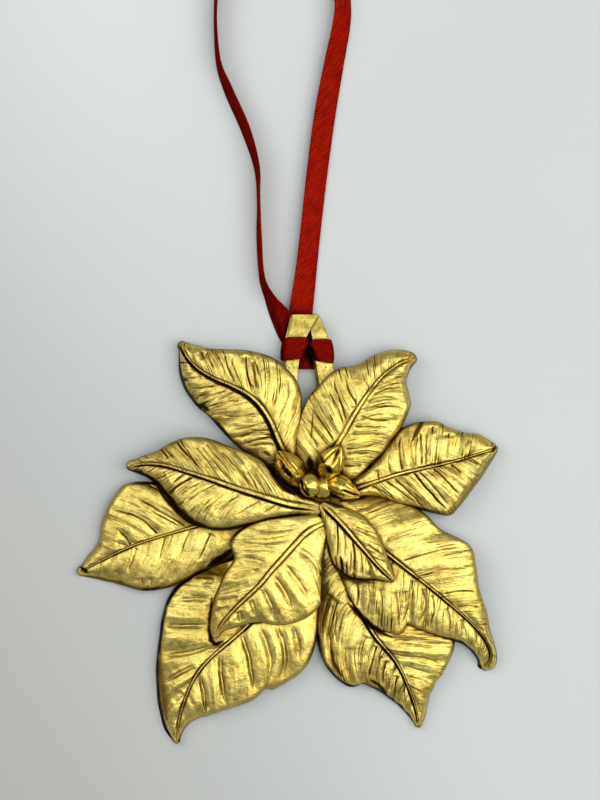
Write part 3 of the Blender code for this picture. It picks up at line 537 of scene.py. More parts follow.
def wallAt(share):
    # thickness of the sheet at a share of the way from the midrib to a margin
    return sheet["thickness"] - (sheet["thickness"] - sheet["margin"]) * share**2


def columnShares(bract, side, width):
    # shares across one side: close together at the midrib and where the margin rounds over
    rib, groove = bract["ribWide"], grooveWidth(bract, side)
    near = np.concatenate([rib * np.array((0.0, 0.5, 0.7, 0.95, 1.25)),
                           1.25 * rib + groove * np.array((0.5, 1.0, 1.6, 2.6))])
    edge = np.array(sheet["marginSteps"])
    inner = np.minimum(near[None] / width[:, None], 0.6 * np.linspace(0, 1, len(near))[None])
    outer = 1 - np.minimum(edge[None] / width[:, None], 0.3 * np.linspace(1, 0, len(edge))[None])
    steps = np.linspace(0.0, 1.0, int(max(width) / sheet["columnStep"]) + 2)[1:-1]
    middle = inner[:, -1:] * (1 - steps) + outer[:, :1] * steps
    return np.concatenate([inner, middle, outer], axis=1)


def offsetFrom(line, plan):
    # signed distance from a traced line, and the share of its length that is nearest
    best = np.full(plan.shape[:2], np.inf)
    signed = np.zeros_like(best)
    share = np.zeros_like(best)
    for step, (start, end) in enumerate(zip(line[:-1], line[1:])):
        run = end - start
        reach = float(run @ run)
        t = np.clip((plan - start) @ run / reach, 0.0, 1.0)
        gap = plan - start - t[:, :, None] * run
        distance = np.hypot(gap[:, :, 0], gap[:, :, 1])
        side = np.sign(run[0] * gap[:, :, 1] - run[1] * gap[:, :, 0])
        nearer = distance < best
        best = np.where(nearer, distance, best)
        signed = np.where(nearer, distance * side, signed)
        share = np.where(nearer, (step + t) / (len(line) - 1), share)
    return signed, share


def veinRelief(bract, plan, across, distance, grip, side, seed):
    # height of the traced veins and of the cushions and folds between them, and how dark the tarnish in them is
    stray, span = relief["wander"]
    wander = stray * latticeNoise(plan[:, :, 0] / span, plan[:, :, 1] / span, seed + 31)
    height = np.zeros_like(across)
    dark = np.zeros_like(across)
    dip = np.zeros_like(across)
    for number, (depth, *trace) in enumerate(bract["veins"]):
        corners = traced(trace)
        line = curveThrough(corners, np.linspace(0.0, 1.0, 9))[0] if len(corners) > 2 else corners
        offset, share = offsetFrom(line, plan)
        offset = offset + wander
        # a vein rises beside the midrib, runs unevenly and dies out towards the margin
        fade = softStep(0.0, 0.25 if bract.get("twin") else 0.07, share) * (1 - softStep(0.7, 1.0, share))
        uneven = 0.75 + 0.4 * latticeNoise(share * 7, 0 * share + number, seed + 3)
        wide = relief["veinWidth"] * (0.8 + 0.5 * depth)
        if bract.get("twin"):
            gap = relief["twinGap"] * (1 - 0.8 * softStep(0.6, 1.0, share))
            lines = np.exp(-(((np.abs(offset) - gap) / (0.85 * wide)) ** 2))
            lifted = relief["twinRidge"] * depth * np.exp(-((offset / 0.2) ** 2))
        else:
            lines = np.exp(-((offset / wide) ** 2))
            lifted = relief["lip"] * depth * np.exp(-((np.abs(offset) / wide - 2.1) ** 2))
        lines = depth * lines * fade * uneven
        height += relief["veinDepth"] * (lifted * fade - lines)
        dark = np.maximum(dark, lines * (1 - 0.3 * np.abs(offset) / wide))
        near = 1 - np.minimum(np.abs(offset) / relief["cushionReach"], 1.0)
        dip = np.maximum(dip, min(1.0, 0.35 + 1.6 * depth) * fade * near**2)
    height -= relief["twinCushion" if bract.get("twin") else "cushion"] * dip
    folds = bract["folds"][side]
    wide, long = relief["fold"]
    height += folds * latticeNoise(across / wide, distance / long + 3, seed + 5)
    part, wide, long = relief["crease"]
    height += part * folds * latticeNoise(across / wide + 11, distance / long, seed + 17)
    wide, long = relief["bulge"]
    height += bract["bulges"][side] * latticeNoise(across / wide + 4, distance / long + 1, seed + 23)
    swell, span = relief["swell"]
    height += swell * latticeNoise(plan[:, :, 0] / span, plan[:, :, 1] / span, seed + 11)
    return height * grip, np.clip(3.2 * dark * grip, 0.0, 1.0)


def ribRelief(bract, along, distance, side):
    # raised midrib and the groove beside it
    taper = (0.55 + 0.45 * softStep(0.0, 0.7, 1 - along))[:, None]
    wide = bract["ribWide"] * taper
    crest = relief["ribHeight"] * taper * (1 - softStep(0.6 * wide, 1.3 * wide, distance))
    depth = bract["groove"][side] * softStep(0.0, 0.12, along)[:, None] * softStep(0.0, 0.1, 1 - along)[:, None]
    gap = grooveWidth(bract, side)
    groove = 0.5 * depth * np.exp(-(((distance - 1.2 * wide - 0.8 * gap) / gap) ** 4))
    return crest - groove, np.clip(groove / 0.3, 0.0, 1.0)


def rowShares(bract):
    # shares of the length where the rows lie, few where other bracts hide them and a multiple of four in all
    length = curveThrough(bract["rib"], np.array((0.0, 1.0)))[2]
    hidden = bract.get("hidden", 0.0)
    few = max(int(hidden * length / sheet["hiddenStep"]), 1) if hidden else 0
    many = int((1 - hidden) * length / sheet["rowStep"])
    many += (-(few + many)) % 4
    return np.concatenate([np.linspace(0.0, hidden, few, endpoint=False), np.linspace(hidden, 1.0, many + 1)])


def withShadowStains(bract, plan, across, distance, seed, tarnishAndShade):
    # tarnish, with painted shadow and tarnish added along the traced lines, which fray along the veins and
    # taper to their ends
    for strength, wide, *trace in bract.get("shadowStains", ()):
        away, passed = offsetFrom(traced(trace), plan)
        away = np.abs(away) * (1 + 0.3 * latticeNoise(across / 0.7, distance / 0.9, seed + 9))
        taper = 0.35 + 0.65 * softStep(0.0, 0.25, passed) * (1 - softStep(0.75, 1.0, passed))
        tarnishAndShade = np.maximum(tarnishAndShade, strength * (1 - softStep(0.2 * wide, 1.5 * wide, away / taper)))
    return tarnishAndShade


def halfFace(bract, along, place, rays, width, length, side, seed):
    # points, tarnish and grain of the half of a face that lies on one side of the midrib
    share = columnShares(bract, side, width)
    half, run = width[:, None], along[:, None] * length
    distance = share * half
    span, bends = sheet["ruffle"]
    ruffle = bends * latticeNoise(run / span + 0 * share, 0 * share + 9, seed + 3 + side)
    reach = distance + ruffle * share**6 * softStep(0, 3, half)
    plan = place[:, None] + rays[:, None] * reach[:, :, None]
    ahead, bend = bract["lean"][side]
    across = run - ahead * distance - bend * distance**2
    # the relief takes hold clear of the midrib, and eases off at the margin and the tip
    clear = 1.3 * bract["ribWide"]
    grip = softStep(clear, clear + 0.5, distance)
    grip = grip * (1 - 0.7 * softStep(-0.4, 0.0, distance - half))
    grip = grip * softStep(0.0, 2.5, (1 - along[:, None]) * length)
    veins, dark = veinRelief(bract, plan, across, distance, grip, side, seed + 50 * side)
    wave, span = relief["marginWave"]
    ripple = latticeNoise(across / span, 0 * across + 5, seed + 71 + side) * softStep(0.45, 1.0, share)
    veins = veins + wave * ripple * softStep(1.5, 5.0, half)
    rib, beside = ribRelief(bract, along, distance, side)
    edge = np.clip(1 - (1 - share) * half / relief["marginRound"], 0.0, 1.0)
    rounding = relief["marginRound"] * (1 - np.sqrt(1 - np.minimum(edge, 0.98) ** 2)) * 0.7
    smooth = bladeHeight(bract, along, share, side, width, length)
    height = np.maximum(smooth + veins + rib - rounding, smooth - wallAt(share) + sheet["leastWall"])
    height = np.maximum(height, sheet["leastFace"])
    turn = turnDown(bract, along, share, side, width, length)
    # painted shade and tarnish on the turned-down margins, and painted shadows along the traced lines
    rolled = softStep(0.06, 0.4, turn) * bract["curl"][side][2]
    tarnishAndShade = np.maximum(np.maximum(dark, beside), withShadowStains(bract, plan, across, distance, seed, rolled))
    signed = distance * (1 if side == 0 else -1)
    grain = np.stack([across, signed, 0 * across + bract["scores"][side]], axis=2)
    return np.concatenate([plan, height[:, :, None]], axis=2), tarnishAndShade, grain


def backFace(bract, along):
    # the plain back, from the right margin to the left one
    columns = np.linspace(-1.0, 1.0, sheet["backColumns"])
    place, rays, widths, length = bladeFrame(bract, along)
    low = np.zeros((len(along), len(columns), 3))
    for column, v in enumerate(columns):
        side, share = (0 if v > 0 else 1), abs(v)
        low[:, column, :2] = place + rays[side] * (widths[side] * share)[:, None]
        face = bladeHeight(bract, along, np.full((len(along), 1), share), side, widths[side], length)[:, 0]
        low[:, column, 2] = np.maximum(face - wallAt(share), 0.0)
    return low


def bractShell(bract, seed):
    # points, faces and attributes of one bract as a closed sheet
    along = rowShares(bract)
    place, rays, widths, length = bladeFrame(bract, along)
    halves = [halfFace(bract, along, place, rays[side], widths[side], length, side, seed) for side in (0, 1)]
    # columns run from the right margin over the midrib to the left margin
    top, tarnishAndShade, grain = (np.concatenate([right[:, ::-1], left[:, 1:]], axis=1) for left, right in zip(*halves))
    low = backFace(bract, along[::4])
    for edge in (0, -1):
        least = np.repeat(low[:, edge, 2], 4)[: len(along)] + sheet["leastWall"]
        top[:, edge, 2] = np.maximum(top[:, edge, 2], least)
    return sheetMesh(top, low, tarnishAndShade, grain)


def sheetMesh(top, low, tarnishAndShade, grain):
    # closed sheet from a fine face and a coarse back whose rows match every fourth one
    rows, columns, _ = top.shape
    lowRows, lowColumns, _ = low.shape
    points = np.concatenate([top.reshape(-1, 3), low.reshape(-1, 3)])
    index = np.arange(rows * columns).reshape(rows, columns)
    lowIndex = rows * columns + np.arange(lowRows * lowColumns).reshape(lowRows, lowColumns)
    quads = np.stack([index[:-1, :-1], index[1:, :-1], index[1:, 1:], index[:-1, 1:]], axis=2)
    faces = quads.reshape(-1, 4).tolist()
    backs = np.stack([lowIndex[:-1, :-1], lowIndex[:-1, 1:], lowIndex[1:, 1:], lowIndex[1:, :-1]], axis=2)
    faces += backs.reshape(-1, 4).tolist()
    # each margin: five points of the face against two of the back
    for edge in (0, -1):
        for row in range(lowRows - 1):
            a, b = int(lowIndex[row, edge]), int(lowIndex[row + 1, edge])
            fan = [int(index[row * 4 + k, edge]) for k in range(5)]
            strip = [(fan[0], a, fan[1]), (fan[1], a, fan[2]), (a, b, fan[2])]
            strip += [(fan[2], b, fan[3]), (fan[3], b, fan[4])]
            faces += strip if edge == 0 else [face[::-1] for face in strip]
    for end in (0, -1):
        faces += endCap(index[end], lowIndex[end], end == 0)
    # tarnish, painted shade and painted shadows of the face; the back has none
    attributes = {
        "tarnishAndShade": np.concatenate([tarnishAndShade.ravel(), np.zeros(lowIndex.size)]),
        "grain": np.concatenate([grain.reshape(-1, 3), low.reshape(-1, 3)]),
    }
    return points, faces, attributes


def endCap(upper, lower, flip):
    # strip of triangles between the ends of the face and of the back
    faces = []
    i = j = 0
    while i < len(upper) - 1 or j < len(lower) - 1:
        upperNext = (i + 1) / (len(upper) - 1)
        lowerNext = (j + 1) / (len(lower) - 1)
        if j == len(lower) - 1 or (i < len(upper) - 1 and upperNext <= lowerNext):
            face = (int(upper[i]), int(upper[i + 1]), int(lower[j]))
            i += 1
        else:
            face = (int(upper[i]), int(lower[j + 1]), int(lower[j]))
            j += 1
        faces.append(face if flip else face[::-1])
    return faces


# Flower buds: pods with lengthwise slits and an open mouth in the tip

# lip: share of a groove's depth that its lips stand up; pleat: share of the radius;
# profile: where on a half wave the outline starts, how much of the wave it takes, and its fullness;
# gape: how far the grooves that reach the tip pull the mouth back
podShape = {"sides": 84, "rings": 64, "lip": 0.3, "pleat": 0.06, "profile": (0.14, 0.835, 0.8), "gape": 1.2}
# pleats: 1 where the pod has three soft ribs; belly: where along it the pod is widest;
# grooves: place round the pod in degrees left of its top, start and end along it, depth, half-width;
# shadowBlots: strength of the painted shadow, half-width, then the photograph's pixels that it passes
buds = {
    "left": {"base": (3.2, 9.9, 6.9), "tip": (-2.1, 16.7, 8.9), "radius": 2.8, "pleats": 1, "belly": 0.5,
             "grooves": ((24, 0.3, 0.8, 0.5, 0.55), (-4, 0.25, 1.0, 0.32, 0.16), (-22, 0.4, 1.0, 0.25, 0.12),
                         (78, 0.1, 0.8, 0.2, 0.3), (-75, 0.1, 0.9, 0.25, 0.3)),
             "shadowBlots": ((1.0, 0.85, 283, 467, 290, 474), (0.45, 1.3, 278, 462, 285, 472, 292, 480),
                       (0.6, 0.3, 283, 452, 298, 473), (0.7, 0.5, 296, 479, 300, 484))},
    "middle": {"base": (6.4, 10.1, 6.6), "tip": (3.0, 9.3, 10.5), "radius": 2.5, "pleats": 0, "belly": 0.55,
               "grooves": ((90, 0.62, 1.0, 0.5, 0.22), (-90, 0.62, 1.0, 0.5, 0.22), (0, 0.5, 0.8, 0.15, 0.12),
                           (180, 0.4, 0.9, 0.2, 0.2)),
               "shadowBlots": ((1.0, 0.4, 301, 480, 303, 488, 308, 494), (0.8, 0.25, 304, 482, 308, 490),
                         (0.4, 0.8, 308, 496, 316, 497))},
    "top": {"base": (7.5, 11.0, 7.0), "tip": (10.9, 17.7, 10.2), "radius": 2.75, "pleats": 1, "belly": 0.5,
            "grooves": ((38, 0.35, 0.9, 0.5, 0.3), (-8, 0.55, 1.0, 0.6, 0.26), (-50, 0.3, 0.95, 0.25, 0.2),
                        (4, 0.02, 0.24, 0.45, 0.6), (85, 0.2, 0.8, 0.2, 0.3)),
            "shadowBlots": ((1.0, 0.85, 328, 467, 330, 470), (0.9, 0.5, 321, 457, 323, 461),
                      (0.5, 1.3, 318, 462, 324, 474), (0.6, 0.5, 318, 474, 324, 477))},
    "right": {"base": (8.4, 10.5, 7.0), "tip": (15.1, 7.5, 9.2), "radius": 2.5, "pleats": 1, "belly": 0.4,
              "grooves": ((-6, 0.55, 1.0, 0.6, 0.22), (28, 0.5, 1.0, 0.3, 0.14), (-48, 0.15, 0.6, 0.5, 0.5),
                          (60, 0.1, 0.5, 0.25, 0.4)),
              "shadowBlots": ((1.0, 1.0, 330, 493, 338, 498), (0.5, 1.4, 326, 484, 334, 488),
                        (0.9, 0.25, 341, 489, 350, 491))},
}
# the dome behind the bracts and the stalk below the buds: radius and height pairs, and an even tarnish
hub = {
    "centre": (6.1, 7.5),
    "outline": ((8.7, 0.0), (9.0, 0.3), (9.0, 2.4), (3.6, 6.8)),
    "sides": 72,
    "tarnish": 0.25,
}
stalk = {
    "centre": (7.5, 9.5),
    "outline": ((2.9, 5.4), (2.8, 7.0), (2.5, 7.9), (2.0, 8.6), (1.5, 9.0), (1.0, 9.25), (0.5, 9.4),
                (0.05, 9.45)),
    "sides": 48,
    "tarnish": 0.1,
}


def turnedShell(outline, sides):
    # closed shell turned about Z from radius and height pairs
    points = []
    for radius, level in outline:
        for step in range(sides):
            angle = 2 * math.pi * step / sides
            points.append((radius * math.cos(angle), radius * math.sin(angle), level))
    faces = [list(range(sides))[::-1], list(range((len(outline) - 1) * sides, len(outline) * sides))]
    for ring in range(len(outline) - 1):
        for step in range(sides):
            follow = (step + 1) % sides
            base = ring * sides
            faces.append((base + step, base + follow, base + sides + follow, base + sides + step))
    return np.array(points), faces


def budShell(bud):
    # one pod, turned about its own length, then grooved, tarnished, laid from base to tip and given painted
    # shadows
    base, tip = (np.array(bud[end], float) for end in ("base", "tip"))
    length = float(np.linalg.norm(tip - base))
    steps = np.arange(podShape["rings"]) / (podShape["rings"] - 1)
    share = 1 - (1 - steps) ** 1.5
    bend = math.log(0.5) / math.log(bud["belly"])  # puts the widest place at the belly's share of the length
    start, reach, fullness = podShape["profile"]
    radius = bud["radius"] * np.maximum(np.sin(math.pi * (start + reach * share**bend)), 0.03) ** fullness
    points, faces = turnedShell(list(zip(radius, length * share)), podShape["sides"])
    share = points[:, 2] / length
    angle = np.degrees(np.arctan2(points[:, 1], points[:, 0]))
    girth = np.hypot(points[:, 0], points[:, 1])
    pleats = bud["pleats"] * podShape["pleat"] * np.cos(3 * np.radians(angle))
    size = girth * (1 + pleats * np.sin(math.pi * share))
    drop = 0 * share
    tarnishAndShade = 0 * share
    for place, start, end, depth, wide in bud["grooves"]:
        turn = (angle - place + 180) % 360 - 180
        offset = np.radians(turn) * np.maximum(girth, 0.5) / wide
        fade = softStep(start, start + 0.15, share) * (1 - softStep(end, end + 0.08, share))
        cut = np.exp(-(offset**2)) * fade
        size = size - np.minimum(depth * cut, 0.75 * size)
        lips = np.exp(-((np.abs(offset) - 1.9) ** 2) * 1.5)
        size = size + podShape["lip"] * depth * lips * fade * (girth > 0.3)
        if end == 1.0:
            drop = drop + podShape["gape"] * depth * cut * softStep(0.8, 1.0, share)
        tarnishAndShade = np.maximum(tarnishAndShade, cut * min(0.8, depth / 0.6))
    # its own directions: axis from base to tip, up as near to Z as it can, and left
    up = np.array((0.0, 0.0, 1.0))
    axis = (tip - base) / length
    up = up - axis * (up @ axis)
    up /= np.linalg.norm(up)
    left = np.cross(up, axis)
    turn = np.radians(angle)
    world = base + axis * (points[:, 2] - drop)[:, None]
    world = world + size[:, None] * (np.cos(turn)[:, None] * up + np.sin(turn)[:, None] * left)
    # painted shadows traced over the pods
    for strength, wide, *trace in bud["shadowBlots"]:
        away = np.abs(offsetFrom(traced(trace), world[None, :, :2])[0][0])
        away = away * (1 + 0.5 * latticeNoise(world[:, 0] / 0.5, world[:, 1] / 0.5, 5))
        tarnishAndShade = np.maximum(tarnishAndShade, strength * (1 - softStep(0.0, 1.6 * wide, away)))
    grain = np.stack([points[:, 2], turn * bud["radius"], size], axis=1)
    return world, faces, {"tarnishAndShade": tarnishAndShade, "grain": grain}


def plainShell(post):
    # turned shell with an even tarnish
    points, faces = turnedShell(post["outline"], post["sides"])
    points[:, :2] += post["centre"]
    return points, faces, {"tarnishAndShade": np.full(len(points), post["tarnish"]), "grain": points.copy()}


def joinShells(name, shells, material):
    # several closed shells as one piece, with their attributes
    points, faces, start = [], [], 0
    for shellPoints, shellFaces, _ in shells:
        points.append(shellPoints)
        faces += [tuple(k + start for k in face) for face in shellFaces]
        start += len(shellPoints)
    attributes = {label: np.concatenate([shell[2][label] for shell in shells]) for label in ("tarnishAndShade", "grain")}
    print(name, start, "points", sum(len(face) - 2 for face in faces), "triangles")
    return placePiece(name, np.concatenate(points), faces, material, attributes)


# Folded strip of brass behind the flower

# left, right: stations of each leg from the top down: Y, then X of the foot of its sloped left side, of the
# shoulder and of its right side
strip = {
    "thickness": 1.1,
    "level": 3.2,
    "step": 0.5,  # how far each leg rises or falls where the two cross at the fold
    "stepSpan": (41.2, 44.6),
    "rows": 22,
    "upperRows": 0.35,  # share of the rows that lies above the fourth station
    "edge": 0.14,
    "edgeSteps": 3,
    "edgeAngle": 35,
    "left": ((45.5, 0.7, 1.2, 6.7), (42.4, 0.0, 0.6, 5.0), (40.7, -0.4, 0.3, 4.1), (38.8, -0.6, 0.0, 3.2),
             (36.1, -0.7, -0.2, 2.6), (33.4, -0.8, -0.4, 2.3), (11.0, -2.4, -2.0, 0.6)),
    "right": ((45.1, 4.0, 4.4, 6.9), (42.4, 4.5, 4.9, 8.0), (40.5, 4.8, 5.3, 8.7), (37.5, 5.2, 5.7, 9.3),
              (34.8, 5.6, 6.1, 9.6), (31.5, 5.9, 6.7, 10.4), (14.0, 8.0, 9.0, 12.3)),
}


def legShell(stations, levels):
    # flat leg with a sloped left side
    points = []
    for (y, foot, shoulder, right), level in zip(stations, levels):
        low = level - strip["thickness"]
        points += [(foot, y, low), (right, y, low), (right, y, level), (shoulder, y, level)]
    faces = [(3, 2, 1, 0), tuple(len(points) - 4 + k for k in range(4))]
    for ring in range(0, len(points) - 4, 4):
        for k in range(4):
            follow = (k + 1) % 4
            faces.append((ring + k, ring + follow, ring + 4 + follow, ring + 4 + k))
    return points, faces


def makeStrip(material):
    points, faces = [], []
    for side, sign in (("left", 1), ("right", -1)):
        stations = np.array(strip[side])
        share = np.linspace(0.0, 1.0, strip["rows"])
        heights = np.interp(share, (0, strip["upperRows"], 1), stations[[0, 3, -1], 0])
        order = np.argsort(stations[:, 0])
        columns = [np.interp(heights, stations[order, 0], stations[order, k]) for k in (1, 2, 3)]
        rise = sign * strip["step"] * softStep(*strip["stepSpan"], heights)
        legPoints, legFaces = legShell(np.stack([heights] + columns, axis=1), strip["level"] + rise)
        faces += [tuple(k + len(points) for k in face) for face in legFaces]
        points += legPoints
    piece = placePiece("hangingStrip", points, faces, material)
    bm = bmesh.new()
    bm.from_mesh(piece.data)
    bmesh.ops.recalc_face_normals(bm, faces=bm.faces)
    bm.to_mesh(piece.data)
    bm.free()
    softening = piece.modifiers.new("softEdges", "BEVEL")
    softening.width = strip["edge"] * mm
    softening.segments = strip["edgeSteps"]
    softening.limit_method = "ANGLE"
    softening.angle_limit = math.radians(strip["edgeAngle"])
    softening.harden_normals = True
    return piece


# Ribbon: satin 5 wide and 0.3 thick, about 325 of it in all, hitched to the strip and knotted at its ends

# routes: X, Y and height of the middle, and the degrees that the ribbon is rolled there
ribbon = {
    "width": 5.0,
    "thickness": 0.3,
    "gap": 0.06,  # least clearance above the table
    "columns": 17,
    "rowStep": 0.5,
    "cup": 0.16,  # how far the middle stands out of the plane of its edges
    "leftRoute": (
        (2.9, 37.4, 0.35, 0.0), (0.7, 41.3, 0.35, 0.0), (-1.1, 44.7, 0.6, -30.0), (-3.6, 48.9, 1.9, -66.0),
        (-5.3, 53.4, 2.6, -78.0), (-5.9, 61.9, 2.6, -79.0), (-6.0, 69.5, 2.6, -84.0), (-6.4, 76.6, 2.6, -78.0),
        (-8.8, 84.6, 2.4, -70.0), (-12.4, 92.8, 2.4, -71.0), (-14.6, 99.5, 2.6, -80.0),
        (-15.0, 111.5, 2.6, -82.0), (-13.2, 122.0, 2.2, -58.0), (-8.8, 132.5, 1.2, -24.0),
        (-3.6, 142.0, 0.6, -5.0), (0.6, 149.4, 0.5, 0.0)),
    "rightRoute": (
        (3.4, 38.4, 0.75, 0.0), (2.9, 42.2, 1.2, 0.0), (2.9, 45.9, 1.25, 10.0), (3.8, 53.1, 1.5, 28.0),
        (4.8, 61.9, 1.7, 34.0), (6.1, 73.7, 1.7, 32.0), (7.9, 87.3, 1.6, 30.0), (10.0, 99.0, 1.9, 38.0),
        (11.4, 106.2, 2.3, 44.0), (11.7, 111.5, 2.5, 48.0), (10.6, 121.0, 2.3, 46.0), (7.8, 131.5, 2.0, 24.0),
        (4.6, 141.0, 1.7, 6.0), (1.4, 149.4, 1.4, 0.0)),
}


def bandPiece(name, line, wide, thick, material, cup=ribbon["cup"], lay=1):
    # closed flat band: line holds the middle, wide and thick reach half its width and thickness;
    # lay 1 or -1 is the hand of its twill
    columns = ribbon["columns"]
    across = np.linspace(-1.0, 1.0, columns)
    bulge = (1 - across**2)[None, :, None]
    middle = line[:, None] + wide[:, None] * across[None, :, None]
    unit = thick / np.linalg.norm(thick, axis=1)[:, None]
    middle = middle + unit[:, None] * bulge * cup
    front = middle + thick[:, None]
    back = (middle - thick[:, None])[:, ::-1]
    ring = np.concatenate([front, back], axis=1)
    rows, count, _ = ring.shape
    index = np.arange(rows * count).reshape(rows, count)
    quads = np.stack([index[:-1], np.roll(index, -1, 1)[:-1], np.roll(index, -1, 1)[1:], index[1:]], axis=2)
    faces = quads.reshape(-1, 4).tolist()
    for row, flip in ((0, True), (-1, False)):
        for k in range(columns - 1):
            face = (int(index[row, k]), int(index[row, k + 1]),
                    int(index[row, count - 2 - k]), int(index[row, count - 1 - k]))
            faces.append(face[::-1] if flip else face)
    # weave: millimetres along, millimetres across, and 0 in the middle to 1 at the selvedge
    weave = np.zeros((rows, count, 3))
    weave[:, :, 0] = distances(line)[:, None]
    both = np.concatenate([across, across[::-1]])
    weave[:, :, 1] = lay * both[None] * np.linalg.norm(wide, axis=1)[:, None]
    weave[:, :, 2] = np.abs(both)[None]
    return placePiece(name, ring.reshape(-1, 3), faces, material, {"weave": weave.reshape(-1, 3)})


def strandRun(route, stations):
    # middle line, half-width and half-thickness directions of a rolled strand
    line, heading, _ = curveThrough(route, np.linspace(0.0, 1.0, stations))
    flat = np.linalg.norm(heading[:, :2], axis=1)
    left = np.stack([-heading[:, 1] / flat, heading[:, 0] / flat, 0 * flat], axis=1)
    angle = np.radians(line[:, 3])
    up = np.array((0.0, 0.0, 1.0))
    wide = left * np.cos(angle)[:, None] + up * np.sin(angle)[:, None]
    thick = up * np.cos(angle)[:, None] - left * np.sin(angle)[:, None]
    wide = -wide * ribbon["width"] / 2
    thick = thick * ribbon["thickness"] / 2
    lift = np.abs(wide[:, 2]) + np.abs(thick[:, 2]) + ribbon["gap"]  # keeps the lower selvedge off the table
    centre = line[:, :3].copy()
    centre[:, 2] = np.maximum(centre[:, 2], lift)
    return centre, wide, thick


def makeStrand(name, route, material):
    # the strand and its middle line
    _, _, length = curveThrough(np.array(route)[:, :3], np.array((0.0, 1.0)))
    centre, wide, thick = strandRun(route, int(length / ribbon["rowStep"]))
    return bandPiece(name, centre, wide, thick, material), centre


# Hitch: each end wraps outwards round its leg, and the bight lies behind both legs

hitch = {
    "front": 3.46,
    "back": 1.72,
    "steps": 96,
    "square": (0.42, 0.5),  # less is squarer, across the leg and through it
    "crown": 0.12,
    "pull": 0.35,  # how far the edges are pulled in where the satin turns round the leg
    "cup": 0.3,
    "leftTop": ((-0.65, 40.7), (4.39, 40.75)),
    "leftBottom": ((-1.2, 35.66), (2.85, 36.1)),
    "rightTop": ((4.85, 40.2), (9.2, 40.4)),
    "rightBottom": ((6.0, 35.7), (9.65, 35.1)),
    "bight": 1.35,
    "bightArch": 0.25,
    "bightY": (33.95, 38.4),
    "bightX": (-0.8, 9.5),
    "bightRows": 40,
    # painted shade laid evenly over the hitch and the left strand
    "leastShade": 0.4,
    # painted shade in the hitch's turns and along the left strand, where it faces away from the light:
    # strength, half-width, then the photograph's pixels
    "shades": (
        (1.0, 0.4, 311, 338, 308, 346), (1.0, 1.35, 307.5, 352, 310, 358, 314, 365),
        (1.0, 1.0, 311, 348, 314, 356, 317, 365), (0.85, 0.9, 283, 338, 282.5, 350, 282, 361),
        (0.8, 1.0, 312, 350, 315, 357, 318, 361), (0.6, 0.3, 331, 341, 333, 352, 333.5, 364),
        (0.75, 1.2, 272, 312, 278, 326, 284, 345), (0.58, 2.6, 215, -20, 218, 60, 230, 100, 247, 132, 257, 175),
        (0.6, 2.6, 262, 280, 271, 308)),
}


def shadeHitch(piece):
    # painted shade, even over the piece and darker in the shade of the hitch and along the left strand
    plan = np.array([point.co[:2] for point in piece.data.vertices])[None] / mm
    dark = np.full(plan.shape[1], hitch["leastShade"])
    for strength, wide, *trace in hitch["shades"]:
        away = np.abs(offsetFrom(traced(trace), plan)[0][0])
        dark = np.maximum(dark, strength * (1 - softStep(0.0, 1.6 * wide, away)))
    keepAtPoints(piece.data, "shade", dark)


def wrapPiece(name, top, bottom, inner, material):
    # closed loop of ribbon round one leg; inner is the side of the opening, 1 right or -1 left
    (x0, y0), (x1, y1) = top
    (x2, y2), (x3, y3) = bottom
    line, wide = [], []
    low, high = hitch["back"], hitch["front"]
    for step in range(hitch["steps"] + 1):
        turn = 2 * math.pi * step / hitch["steps"]
        c, s = math.cos(turn), math.sin(turn)
        # squared oval round the leg
        u = math.copysign(abs(c) ** hitch["square"][0], c)
        w = math.copysign(abs(s) ** hitch["square"][1], s)
        share = (u + 1) / 2
        z = (low + high) / 2 + (high - low) / 2 * w + hitch["crown"] * (1 - u * u) * max(w, 0)
        sink = hitch["pull"] * abs(u) ** 6
        topPoint = np.array((x0 + (x1 - x0) * share, y0 + (y1 - y0) * share - sink, z))
        bottomPoint = np.array((x2 + (x3 - x2) * share, y2 + (y3 - y2) * share + 0.4 * sink, z))
        line.append((topPoint + bottomPoint) / 2)
        wide.append((topPoint - bottomPoint) / 2)
    line, wide = np.array(line), np.array(wide)
    heading = np.gradient(line, axis=0)
    thick = np.cross(heading, wide)
    thick /= np.linalg.norm(thick, axis=1)[:, None]
    outward = line - line.mean(axis=0)
    if np.sum(thick * outward) < 0:
        wide, thick = -wide, -thick
    return bandPiece(name, line, wide, thick * ribbon["thickness"] / 2, material, cup=hitch["cup"], lay=inner)


def bightPiece(name, material):
    # the turn of ribbon that lies behind both legs
    lowY, highY = hitch["bightY"]
    left, right = hitch["bightX"]
    share = np.linspace(0.0, 1.0, hitch["bightRows"])
    x = left + (right - left) * share
    z = hitch["bight"] + hitch["bightArch"] * np.sin(math.pi * share) ** 2
    line = np.stack([x, 0 * x + (lowY + highY) / 2, z], axis=1)
    wide = np.tile(np.array((0.0, (highY - lowY) / 2, 0.0)), (len(x), 1))
    thick = np.tile(np.array((0.0, 0.0, ribbon["thickness"] / 2)), (len(x), 1))
    return bandPiece(name, line, wide, thick, material)


# Knot that joins the two ends

# tails: side, and height of its cut end
knot = {
    "centre": (1.0, 153.4, 1.9),
    "size": (3.8, 3.2, 1.6),
    "turns": (("knotOuterTurn", 24.0, 1.0), ("knotInnerTurn", -26.0, 0.86)),  # degrees off square, size
    "turnRows": 97,
    "halfWidth": 2.3,
    "tails": (("leftTail", -1, 0.35), ("rightTail", 1, 0.95)),
    "tail": 12.0,
    "tailRows": 30,
    "tucked": 1.0,  # length of a tail inside the knot
    "rise": 0.4,
    "spread": 16.0,
}


